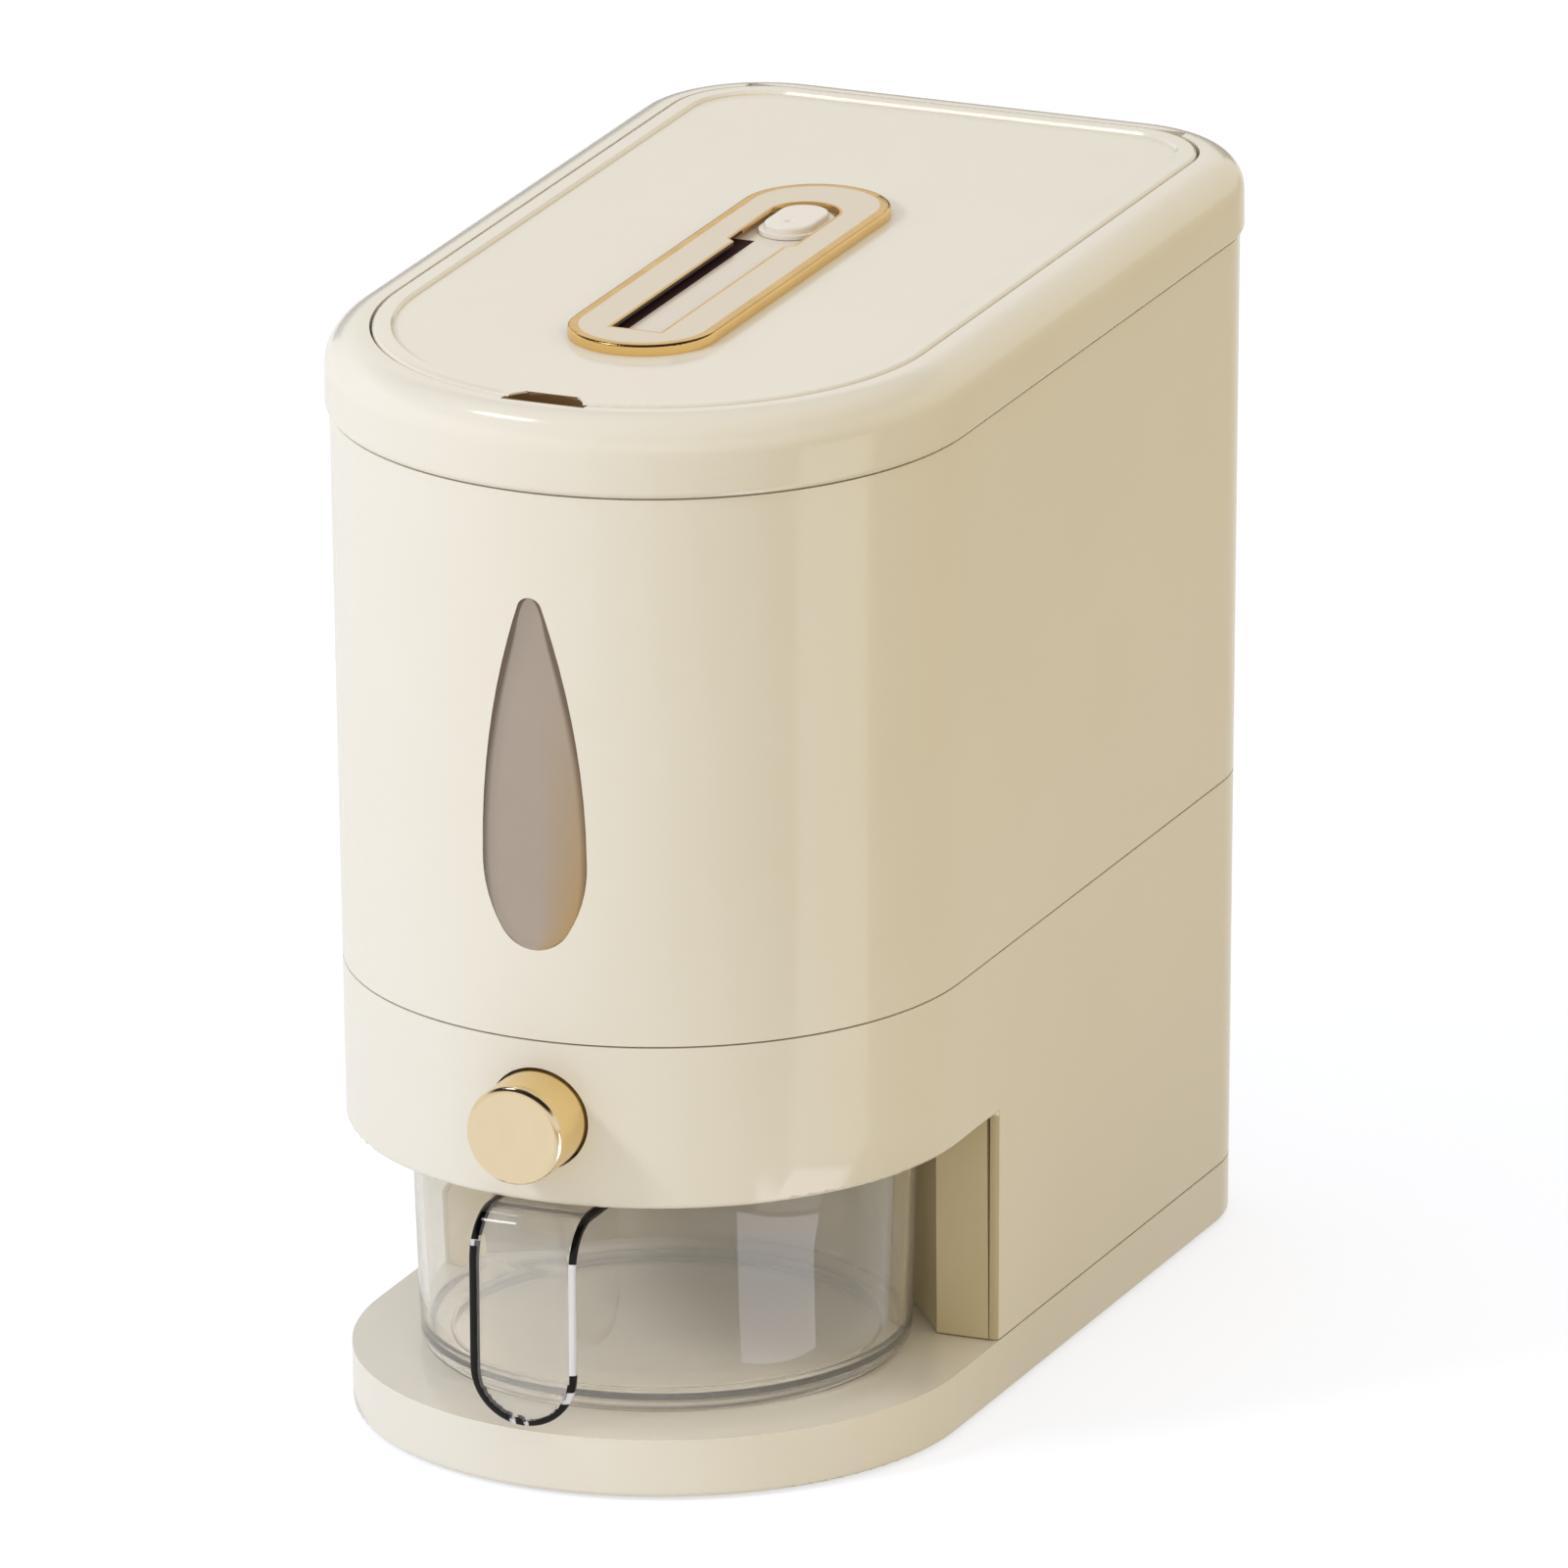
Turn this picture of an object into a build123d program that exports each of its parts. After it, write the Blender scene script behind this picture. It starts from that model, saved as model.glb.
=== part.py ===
from build123d import *
import os
from math import atan2, cos, degrees, hypot, radians, sin, tan

# Countertop rice dispenser: a hopper with a hinged lid, a push button that moves the outlet gate,
# and a clear cup that pulls out of the bay under the visor. Front is -Y, up is +Z.

# ---- body plan: half-round front, straight sides, flat rear with rounded corners
arc_y = -72.75  # axis of the half-round front, which centres the whole object on Y
half_width = 100.0  # at the reference height
rear_reach = 261.0  # rear face behind the arc axis, at the reference height
rear_corner = 43.0
reference_z = 136.0
draft_rate = 0.011  # outward lean of the walls per millimetre of height
wall = 3.0
past = 1.0  # how far a cutting solid runs past the faces it cuts
tight = 0.05  # screw or stem in the hole it holds in
slack = 0.3  # between pieces that sit beside each other

# ---- heights
foot_drop = 1.0  # gap between the floor and the base's rim
base_top = 20.3
visor_bottom = 96.0
lower_top = 148.9
upper_bottom = 149.5
upper_top = 327.0
collar_bottom = 327.3
collar_top = 352.6
lid_face_z = 351.9  # recessed middle of the lid
lid_rim_z = 353.2  # raised border of the lid

# ---- base
base_deck = 3.0
base_edge_round = 2.0
foot_radius = 9.0
foot_height = 3.0
foot_places = [(x, arc_y + v) for x in (-68, 68) for v in (-38, 222)]
foot_pad = 2.0  # the pad's margin around a foot
rib_places = [(0, arc_y + v) for v in (40, 130, 215)]
rib_depth = 9.0
rib_thick = 2.0
boss_radius = 5.0
base_screw_places = [(x, arc_y + v) for x in (-91, 91) for v in (72, 170)]
base_screw_places += [(x, arc_y + 252) for x in (-48, 48)]

# ---- cup bay
bay_radius = 82.5
bay_front_v = 33.0  # flat faces beside the cup, behind the arc axis
cheek_angle = 36.0  # where the concave wall runs out into its straight cheeks
ceiling_low = 97.0
ceiling_high = 100.0
ceiling_rear_v = 86.5
ceiling_screw_head = 3.0
ceiling_screw_head_high = 0.9
ceiling_screw_places = [(x, arc_y - 46.5) for x in (-80, 80)]
ceiling_screw_places += [(x, arc_y + 60) for x in (-92, 92)]
ceiling_screw_length = 9.0  # into the posts
post_end = 2.0  # of the post beyond its screw

# ---- outlet and gate
outlet_half_x = 25.0
outlet_half_y = 5.75
press_travel = 13.0
guide_half_x = 40.0
guide_front_v = -48.0
guide_rear_v = 38.0
guide_floor_z = 108.1
gate_low = 108.4
gate_high = 111.4
gate_half_x = 34.0
gate_front_v = -62.0
gate_rear_v = 22.0
rail_inner_x = 34.5
flange_z = 113.0
flange_thick = 2.5
flange_front_v = -36.0
flange_rear_v = 30.0
guide_screw_places = [(x, arc_y + v) for x in (-37.3, 37.3) for v in (-42, 34)]

# ---- hopper floor
neck_z = 120.0
slope_angle = 28.0
hopper_rise = 146.0
slope_sheet = 3.4  # upright thickness of the sloped floor
neck_wall = 2.4
lip_front_z = 172.0
lip_rear_z = 262.0
rim_inset = wall + slack
rim_high = 2.4
lip_inset = 5.7  # clears the tongue of the lower housing
lip_thick = 2.0
seal_margin = 4.5  # of the neck's seal around the outlet

# ---- push button
button_z = 123.6
button_radius = 16.0
button_front_v = -119.0
button_rear_v = -84.0
button_face = 3.0
button_round = 2.2
button_bore = 13.6
button_flange = 17.6
flange_lip = 2.0  # length of the cap's flange
socket_depth = 8.0  # for the stem inside the cap
socket_wall = 2.2
bore_gap = 0.4  # around the sliding cap and stem
sleeve_front_v = -93.2
sleeve_rear_v = -64.0
sleeve_radius = 20.5
sleeve_floor = 2.0  # spring seat at the sleeve's rear end
pedestal_width = 28.0
pedestal_depth = 22.0
spring_radius = 11.5
spring_bore = 10.0
stem_radius = 4.0
stem_foot_v = -60.0
stem_foot_depth = 6.0
stem_foot_width = 20.0

# ---- level window
window_low = 178.7
window_wide_z = 207.0
window_arc_z = 209.0
window_high = 293.2
window_half = 17.5
window_bowl = 13.0  # radius of the low end
window_tip = 4.2  # radius of the high end
window_gap = 0.2  # around the lens in its opening
window_flange = 3.2  # of the lens, behind the front wall
lens_set_back = 0.3
gasket_thick = 0.5
lens_flange_thick = 1.2
spigot_inset = 1.9  # inside the collar
spigot_thick = 2.5
spigot_high = 13.0
spigot_root = 5.0

# ---- collar and lid
collar_proud = 1.4
collar_round = 11.8
collar_skirt = 3.0
collar_low_round = 2.4
collar_roof = 4.0  # under the lid's seat
pocket_inset = 14.1
seat_z = 346.0
throat_inset = 26.0
throat_wall = 2.5
throat_low = 332.0
lid_gap = 0.8
lid_rear_gap = 1.4
lid_under_z = 349.0
lid_lip_z = 347.8
lid_lip = 5.0
lid_border = 6.6
hinge_radius = 0.9
hinge_edge = 2.3  # from the hinge axis to the lid's rear edge and top
hinge_sweep = 3.4  # radius of the space in which the lid's rear corners turn
hinge_sweep_end = 75.2  # where the lid's turning corners clear the collar's top
notch_radius = 13.6
notch_v = -92.7
pocket_low = 338.0  # floor of the finger pocket below the notch
pocket_floor = 4.0
pocket_wall = 1.6
pocket_front = 6.0  # inset of the block's front face
pin_inner = 62.0
pin_outer = 80.5
lid_round = 1.3
lid_low_round = 0.6
border_bevel = 0.8
liner_gap = 2.5
liner_low = 336.0
liner_wall = 2.0
lid_screw_places = [(x, arc_y + v) for x in (-56, 56) for v in (-18, 185)]

# ---- gold plate and slide on the lid
plate_length = 183.0
plate_width = 48.0
plate_v = 57.5
plate_thick = 3.5
plate_round = 1.0
plate_ring = 3.4  # from the plate's outline to the inlay
slot_front_v = -17.0
slot_step_v = 80.0
slot_rear_v = 128.0
slot_half = 8.5
slot_wide_half = 11.0
slot_lip = 0.9
undercut = 2.5
undercut_high = 2.1
knob_v = 110.5
knob_radius = 8.0
knob_foot_radius = 9.8
knob_stretch = 11.0  # length of the knob's straight sides
knob_foot_thick = 1.2
knob_proud = 0.5
knob_round = 0.8
dimple_radius = 1.9
dimple_rise = 0.8
track_thick = 0.4
track_gap = 0.2
inlay_thick = 0.8

# ---- desiccant tray under the lid
tray_v = 60.0
tray_half_x = 35.0
tray_half_y = 28.0
cover_half_x = 37.5
cover_half_y = 31.0
cover_low = 333.1
cover_thick = 2.2
bag_margin = 2.0
bag_thick = 9.0
bag_round = 2.5

# ---- cup
cup_low = 20.5
cup_floor_z = 26.8
cup_high = 94.7
cup_foot_radius = 73.5
cup_low_radius = 77.2
cup_radius = 79.0
cup_wall = 2.4
handle_half = 17.9
handle_v = -113.7
handle_thick = 3.4
handle_low = 27.1
handle_bend = 15.5
handle_root_v = -70.0  # buried in the cup's wall
cup_floor_round = 4.0
cup_foot_ring = 6.0  # width of the ring it stands on
cup_foot_round = 5.0
cup_floor_thick = 3.0

os.makedirs("parts", exist_ok=True)

arc_axis = Axis((0, arc_y, 0), (0, 0, 1))
arc_plane = Plane.XZ.offset(-arc_y)  # upright plane across the arc axis
button_plane = Plane.XZ.offset(-arc_y).shift_origin((0, arc_y, button_z))
side_plane = Plane.YZ.shift_origin((0, arc_y, 0))  # upright plane along the middle of the object


# ------------------------------------------------------------------ outlines
def d_face(z, half, rear, corner):
    """D-shaped face at height z: half-round front, straight sides, rounded rear corners."""
    rear_y = arc_y + rear
    with BuildSketch(Plane.XY.offset(z)) as face:
        with BuildLine():
            CenterArc((0, arc_y), half, 180, 180)
            Line((half, arc_y), (half, rear_y - corner))
            CenterArc((half - corner, rear_y - corner), corner, 0, 90)
            Line((half - corner, rear_y), (corner - half, rear_y))
            CenterArc((corner - half, rear_y - corner), corner, 90, 90)
            Line((-half, rear_y - corner), (-half, arc_y))
        make_face()
    return face.sketch


def body_face(z, inset):
    """The body's outline at height z, drawn in by inset."""
    lean = draft_rate * (z - reference_z)
    return d_face(z, half_width + lean - inset, rear_reach + lean - inset, rear_corner - inset)


def body_block(z_low, z_high, inset=0.0):
    """Everything inside the leaning body outline between two heights."""
    with BuildPart() as block:
        loft([body_face(z_low, inset), body_face(z_high, inset)], ruled=True)
    return block.part


def body_ring(z_low, z_high, outer, inner):
    """A wall that follows the body outline, between two insets."""
    with BuildPart() as ring:
        add(body_block(z_low, z_high, outer))
        add(body_block(z_low - past, z_high + past, inner), mode=Mode.SUBTRACT)
    return ring.part


collar_half = half_width + draft_rate * (upper_top - reference_z) + collar_proud
collar_rear = rear_reach + draft_rate * (upper_top - reference_z) + collar_proud
collar_corner = rear_corner + collar_proud


def collar_block(z_low, z_high, inset):
    """Upright block inside the collar's outline, drawn in by inset."""
    with BuildPart() as block:
        face = d_face(z_low, collar_half - inset, collar_rear - inset, collar_corner - inset)
        extrude(face, amount=z_high - z_low)
    return block.part


lid_half = collar_half - pocket_inset - lid_gap
lid_rear = collar_rear - pocket_inset - lid_rear_gap
lid_corner = collar_corner - pocket_inset - lid_gap
hinge_y = arc_y + lid_rear - hinge_edge
hinge_z = lid_rim_z - hinge_edge


def lid_block(z_low, z_high, inset):
    """Upright block inside the lid's outline, drawn in by inset."""
    with BuildPart() as block:
        face = d_face(z_low, lid_half - inset, lid_rear - inset, lid_corner - inset)
        extrude(face, amount=z_high - z_low)
    return block.part


def screw(head_radius, head_height, shank_radius, length):
    """Pan-head screw, head down, with its head's underside seat at z = 0."""
    with BuildPart() as piece:
        Cylinder(shank_radius, length, align=(Align.CENTER, Align.CENTER, Align.MIN))
        with Locations((0, 0, -head_height)):
            Cylinder(head_radius, head_height, align=(Align.CENTER, Align.CENTER, Align.MIN))
        fillet(piece.faces().sort_by(Axis.Z)[0].edges(), head_height * 0.4)
        with BuildSketch(Plane.XY.offset(-head_height)):
            Rectangle(head_radius * 1.2, head_radius * 0.3)
            Rectangle(head_radius * 0.3, head_radius * 1.2)
        extrude(amount=head_height * 0.5, mode=Mode.SUBTRACT)
    return piece.part


def screw_group(places, seat_z, piece):
    """The same screw set at each place, with its head's seat at one height."""
    with BuildPart() as group:
        with Locations([(x, y, seat_z) for x, y in places]):
            add(piece)
    return group.part


# ------------------------------------------------------------------ base plate
base_screw_head = 3.4
base_screw_head_high = 2.4
base_screw_shank = 1.6
base_screw_seat = base_top - base_deck
base_screw_length = 16.0

with BuildPart() as base_plate:
    add(body_block(foot_drop, base_top))
    fillet(base_plate.faces().sort_by(Axis.Z)[0].edges(), base_edge_round)
    extrude(body_face(foot_drop - past, wall), amount=base_top - base_deck - foot_drop + past,
            mode=Mode.SUBTRACT)
    # pads over the feet and screw bosses under the deck
    with BuildSketch(Plane.XY.offset(foot_height)):
        with Locations(foot_places):
            Circle(foot_radius + foot_pad)
    extrude(amount=base_top - foot_height - past)
    # cross ribs under the deck
    with BuildSketch(Plane.XY.offset(base_top - base_deck - rib_depth)):
        with Locations(rib_places):
            Rectangle(2 * (half_width - wall), rib_thick)
    extrude(amount=rib_depth + base_deck - past)
    with Locations([(x, y, base_top) for x, y in base_screw_places]):
        Hole(base_screw_shank + slack)
base_plate.part.label = "base_plate"
export_step(base_plate.part, "parts/base_plate.step")

with BuildPart() as base_feet:
    with BuildSketch():
        with Locations(foot_places):
            Circle(foot_radius)
    extrude(amount=foot_height)
    chamfer(base_feet.edges().group_by(Axis.Z)[0], 0.6)
base_feet.part.label = "base_feet"
export_step(base_feet.part, "parts/base_feet.step")

base_screw = screw(base_screw_head, base_screw_head_high, base_screw_shank, base_screw_length)
base_screws = screw_group(base_screw_places, base_screw_seat, base_screw)
base_screws.label = "base_screws"
export_step(base_screws, "parts/base_screws.step")

# ------------------------------------------------------------------ lower housing
housing_low = base_top + 2 * slack
button_hole = button_radius + 0.7
tongue_inset = wall + 0.2
tongue_thick = 2.0
tongue_top = 151.5
ring_low = lower_top - 10.0
ring_high = lower_top - 2.0
boss_high = 40.0
visor_round = 1.8


def on_bay_cut(edge):
    """True for the outer edges that the bay's opening leaves on the visor and side panels."""
    middle = edge @ 0.5
    outside = hypot(middle.X, min(middle.Y - arc_y, 0)) > half_width - wall / 2
    under_visor = abs(middle.Z - visor_bottom) < slack
    beside_bay = abs(middle.Y - arc_y - bay_front_v) < slack and middle.Z < visor_bottom
    return outside and edge.length > boss_radius and (under_visor or beside_bay)


with BuildPart() as lower_housing:
    add(body_ring(housing_low, lower_top, 0, wall))
    # thickened ring inside the top edge, and the tongue that locates the upper housing
    add(body_ring(ring_low, ring_high, wall / 2, tongue_inset + tongue_thick))
    add(body_ring(ring_high - past, tongue_top, tongue_inset, tongue_inset + tongue_thick))
    # open bay below the visor
    with BuildSketch(Plane.XY.offset(housing_low - past)):
        with Locations((0, arc_y + bay_front_v)):
            Rectangle(3 * half_width, 2 * half_width, align=(Align.CENTER, Align.MAX))
    extrude(amount=visor_bottom - housing_low + past, mode=Mode.SUBTRACT)
    cut_edges = lower_housing.edges().filter_by(on_bay_cut)
    fillet(cut_edges, visor_round)
    # bosses for the base screws
    with BuildSketch(Plane.XY.offset(housing_low)):
        with Locations(base_screw_places):
            Circle(boss_radius)
    extrude(amount=boss_high - housing_low)
    with BuildSketch(Plane.XY.offset(housing_low)):
        with Locations(base_screw_places):
            Circle(base_screw_shank + tight)
    extrude(amount=base_screw_length, mode=Mode.SUBTRACT)
    # posts for the bay ceiling's screws
    with BuildSketch(Plane.XY.offset(ceiling_high)):
        with Locations(ceiling_screw_places):
            Circle(boss_radius)
            Circle(base_screw_shank + tight, mode=Mode.SUBTRACT)
    extrude(amount=ceiling_screw_length + post_end)
    # hole for the button in the visor
    with BuildSketch(button_plane):
        Circle(button_hole)
    extrude(amount=half_width + past, mode=Mode.SUBTRACT)
lower_housing.part.label = "lower_housing"
export_step(lower_housing.part, "parts/lower_housing.step")


# ------------------------------------------------------------------ cup bay
def cheek_points(radius, front_v):
    """Where the straight cheek leaves the concave wall, and where it meets the flat face."""
    angle = radians(cheek_angle)
    touch = (radius * cos(angle), radius * sin(angle))
    run = (touch[1] - front_v) / cos(angle)
    return touch, (touch[0] + run * sin(angle), front_v)


def bay_plan(radius, front_v):
    """Plan of the bay: the concave wall's circle with its two straight cheeks."""
    touch, front = cheek_points(radius, front_v)
    with BuildSketch() as plan:
        with Locations((0, arc_y)):
            Circle(radius)
        with BuildLine():
            Polyline((-front[0], arc_y + front[1]), (front[0], arc_y + front[1]),
                     (touch[0], arc_y + touch[1]), (-touch[0], arc_y + touch[1]), close=True)
        make_face()
    return plan.sketch


flat_face_half = half_width + draft_rate * (base_top - reference_z) - wall - slack
bay_wall_low = base_top + 0.5

with BuildPart() as bay_wall:
    with BuildSketch(Plane.XY.offset(bay_wall_low)):
        add(bay_plan(bay_radius + wall, bay_front_v + wall))
        with Locations((0, arc_y + bay_front_v)):
            Rectangle(2 * flat_face_half, wall, align=(Align.CENTER, Align.MIN))
        add(bay_plan(bay_radius, bay_front_v), mode=Mode.SUBTRACT)
        with Locations((0, arc_y + bay_front_v)):
            Rectangle(3 * half_width, 2 * half_width, align=(Align.CENTER, Align.MAX),
                      mode=Mode.SUBTRACT)
    extrude(amount=ceiling_low - bay_wall_low)
bay_wall.part.label = "bay_wall"
export_step(bay_wall.part, "parts/bay_wall.step")

with BuildPart() as bay_ceiling:
    add(body_block(ceiling_low, ceiling_high, wall + slack))
    with BuildSketch(Plane.XY.offset(ceiling_low - past)):
        with Locations((0, arc_y + ceiling_rear_v)):
            Rectangle(3 * half_width, 3 * half_width, align=(Align.CENTER, Align.MIN))
    extrude(amount=ceiling_high - ceiling_low + 2 * past, mode=Mode.SUBTRACT)
    # outlet hole
    with BuildSketch(Plane.XY.offset(ceiling_low - past)):
        with Locations((0, arc_y)):
            Rectangle(2 * outlet_half_x, 2 * outlet_half_y)
    extrude(amount=ceiling_high - ceiling_low + 2 * past, mode=Mode.SUBTRACT)
    with Locations([(x, y, ceiling_high) for x, y in ceiling_screw_places]):
        Hole(base_screw_shank + slack)
bay_ceiling.part.label = "bay_ceiling"
export_step(bay_ceiling.part, "parts/bay_ceiling.step")

ceiling_screw = screw(ceiling_screw_head, ceiling_screw_head_high, base_screw_shank,
                      ceiling_high - ceiling_low + ceiling_screw_length)
ceiling_screws = screw_group(ceiling_screw_places, ceiling_low, ceiling_screw)
ceiling_screws.label = "ceiling_screws"
export_step(ceiling_screws, "parts/ceiling_screws.step")

# ------------------------------------------------------------------ gate guide and gate
guide_screw_shank = 1.2
guide_screw_head_high = 1.6

with BuildPart() as gate_guide:
    with BuildSketch(Plane.XY.offset(ceiling_high)):
        with Locations((0, arc_y + guide_front_v)):
            Rectangle(2 * guide_half_x, guide_rear_v - guide_front_v, align=(Align.CENTER, Align.MIN))
    extrude(amount=flange_z - ceiling_high)
    # channel for the gate plate
    with BuildSketch(Plane.XY.offset(guide_floor_z)):
        with Locations((0, arc_y + guide_front_v - past)):
            Rectangle(2 * rail_inner_x, guide_rear_v - guide_front_v + 2 * past,
                      align=(Align.CENTER, Align.MIN))
    extrude(amount=flange_z - guide_floor_z, mode=Mode.SUBTRACT)
    with BuildSketch(Plane.XY.offset(ceiling_high)):
        with Locations((0, arc_y)):
            Rectangle(2 * outlet_half_x, 2 * outlet_half_y)
    extrude(amount=guide_floor_z - ceiling_high, mode=Mode.SUBTRACT)
    with BuildSketch(Plane.XY.offset(ceiling_high)):
        with Locations(guide_screw_places):
            Circle(guide_screw_shank + tight)
    extrude(amount=flange_z - ceiling_high, mode=Mode.SUBTRACT)
gate_guide.part.label = "gate_guide"
export_step(gate_guide.part, "parts/gate_guide.step")

with BuildPart() as guide_screws:
    with BuildSketch(Plane.XY.offset(ceiling_high)):
        with Locations(guide_screw_places):
            Circle(guide_screw_shank)
    extrude(amount=flange_z - ceiling_high)
    with BuildSketch(Plane.XY.offset(flange_z)):
        with Locations(guide_screw_places):
            Circle(2 * guide_screw_shank)
    extrude(amount=guide_screw_head_high)
guide_screws.part.label = "guide_screws"
export_step(guide_screws.part, "parts/guide_screws.step")

stem_screw_places = [(x, arc_y + stem_foot_v + stem_foot_depth / 2) for x in (-5, 5)]
stem_screw_bite = 7.0  # into the stem's foot
stem_screw_shank = 1.1
stem_screw_head = 2.2
stem_screw_head_high = 1.2

with BuildPart() as gate_plate:
    with BuildSketch(Plane.XY.offset(gate_low)):
        with Locations((0, arc_y + gate_front_v)):
            Rectangle(2 * gate_half_x, gate_rear_v - gate_front_v, align=(Align.CENTER, Align.MIN))
        with Locations((0, arc_y - press_travel)):
            Rectangle(2 * outlet_half_x, 2 * outlet_half_y, mode=Mode.SUBTRACT)
        with Locations(stem_screw_places):
            Circle(stem_screw_shank + tight, mode=Mode.SUBTRACT)
    extrude(amount=gate_high - gate_low)
    with BuildSketch(Plane.XY.offset(gate_low)):
        with Locations(stem_screw_places):
            Circle(stem_screw_head + tight)
    extrude(amount=stem_screw_head_high, mode=Mode.SUBTRACT)
gate_plate.part.label = "gate_plate"
export_step(gate_plate.part, "parts/gate_plate.step")

with BuildPart() as push_stem:
    with BuildSketch(button_plane.offset(-stem_foot_v - stem_foot_depth)):
        Circle(stem_radius)
    extrude(amount=stem_foot_v + stem_foot_depth - button_front_v - button_face)
    with BuildSketch(Plane.XY.offset(gate_high)):
        with Locations((0, arc_y + stem_foot_v)):
            Rectangle(stem_foot_width, stem_foot_depth, align=(Align.CENTER, Align.MIN))
    extrude(amount=button_z + stem_radius - gate_high)
    with BuildSketch(Plane.XY.offset(gate_high)):
        with Locations(stem_screw_places):
            Circle(stem_screw_shank + tight)
    extrude(amount=stem_screw_bite + past, mode=Mode.SUBTRACT)
push_stem.part.label = "push_stem"
export_step(push_stem.part, "parts/push_stem.step")

with BuildPart() as stem_screws:
    with BuildSketch(Plane.XY.offset(gate_low)):
        with Locations(stem_screw_places):
            Circle(stem_screw_head)
    extrude(amount=stem_screw_head_high)
    with BuildSketch(Plane.XY.offset(gate_low)):
        with Locations(stem_screw_places):
            Circle(stem_screw_shank)
    extrude(amount=gate_high - gate_low + stem_screw_bite)
stem_screws.part.label = "stem_screws"
export_step(stem_screws.part, "parts/stem_screws.step")

# ------------------------------------------------------------------ push button
with BuildPart() as button_cap:
    with BuildSketch(button_plane.offset(-button_rear_v)):
        Circle(button_radius)
    extrude(amount=button_rear_v - button_front_v)
    fillet(button_cap.faces().sort_by(Axis.Y)[0].edges(), button_round)
    with BuildSketch(button_plane.offset(-button_rear_v)):
        Circle(button_flange)
    extrude(amount=flange_lip)
    with BuildSketch(button_plane.offset(-button_rear_v)):
        Circle(button_bore)
    extrude(amount=button_rear_v - button_front_v - button_face, mode=Mode.SUBTRACT)
    # socket for the stem
    with BuildSketch(button_plane.offset(-button_front_v - button_face - socket_depth)):
        Circle(stem_radius + socket_wall)
        Circle(stem_radius + tight, mode=Mode.SUBTRACT)
    extrude(amount=socket_depth)
button_cap.part.label = "button_cap"
export_step(button_cap.part, "parts/button_cap.step")

with BuildPart() as button_sleeve:
    with BuildSketch(button_plane.offset(-sleeve_rear_v)):
        Circle(sleeve_radius)
    extrude(amount=sleeve_rear_v - sleeve_front_v)
    # pedestal on the bay ceiling
    with BuildSketch(Plane.XY.offset(ceiling_high)):
        with Locations((0, arc_y + sleeve_rear_v)):
            Rectangle(pedestal_width, pedestal_depth, align=(Align.CENTER, Align.MAX))
    extrude(amount=button_z - sleeve_radius / 2 - ceiling_high)
    with BuildSketch(button_plane.offset(-sleeve_rear_v)):
        Circle(button_radius + bore_gap)
    extrude(amount=sleeve_rear_v - sleeve_front_v, mode=Mode.SUBTRACT)
    # wider bore in which the cap's flange travels
    with BuildSketch(button_plane.offset(-sleeve_rear_v)):
        Circle(button_flange + bore_gap)
    extrude(amount=sleeve_rear_v - button_rear_v + flange_lip + slack, mode=Mode.SUBTRACT)
    # spring seat with the stem's hole
    with BuildSketch(button_plane.offset(-sleeve_rear_v)):
        Circle(sleeve_radius)
        Circle(stem_radius + bore_gap, mode=Mode.SUBTRACT)
    extrude(amount=sleeve_floor)
button_sleeve.part.label = "button_sleeve"
export_step(button_sleeve.part, "parts/button_sleeve.step")

spring_rear_v = sleeve_rear_v - sleeve_floor - 2 * tight
spring_front_v = button_front_v + button_face + 2 * tight

with BuildPart() as return_spring:
    with BuildSketch(button_plane.offset(-spring_rear_v)):
        Circle(spring_radius)
        Circle(spring_bore, mode=Mode.SUBTRACT)
    extrude(amount=spring_rear_v - spring_front_v)
return_spring.part.label = "return_spring"
export_step(return_spring.part, "parts/return_spring.step")


# ------------------------------------------------------------------ hopper floor
def hopper_form(drop, inset):
    """Four sloping planes over the neck, filled up to the body wall at the given inset."""
    run = hopper_rise / tan(radians(slope_angle))
    low = neck_z - drop
    with BuildPart() as form:
        with BuildSketch(Plane.XY.offset(low)):
            with Locations((0, arc_y)):
                Rectangle(2 * outlet_half_x, 2 * outlet_half_y)
        with BuildSketch(Plane.XY.offset(low + hopper_rise)):
            with Locations((0, arc_y)):
                Rectangle(2 * (outlet_half_x + run), 2 * (outlet_half_y + run))
        loft(ruled=True)
        add(body_block(low - past, low + hopper_rise + past, inset), mode=Mode.INTERSECT)
    return form.part


def lip_band(depth, top):
    """Slab under the sloping line of the floor's upper edge, or all that is above it."""
    reach_front = -1.05 * half_width
    reach_rear = 1.05 * rear_reach
    with BuildPart() as band:
        with BuildSketch(side_plane):
            with BuildLine():
                Polyline((reach_front, lip_front_z - depth), (reach_rear, lip_rear_z - depth),
                         (reach_rear, lip_rear_z + top), (reach_front, lip_front_z + top), close=True)
            make_face()
        extrude(amount=1.5 * half_width, both=True)
    return band.part


# flange along the upper edge that meets the upper housing
with BuildPart() as funnel_rim:
    add(lip_band(rim_high, 0))
    add(body_block(neck_z, neck_z + hopper_rise, rim_inset), mode=Mode.INTERSECT)

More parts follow.
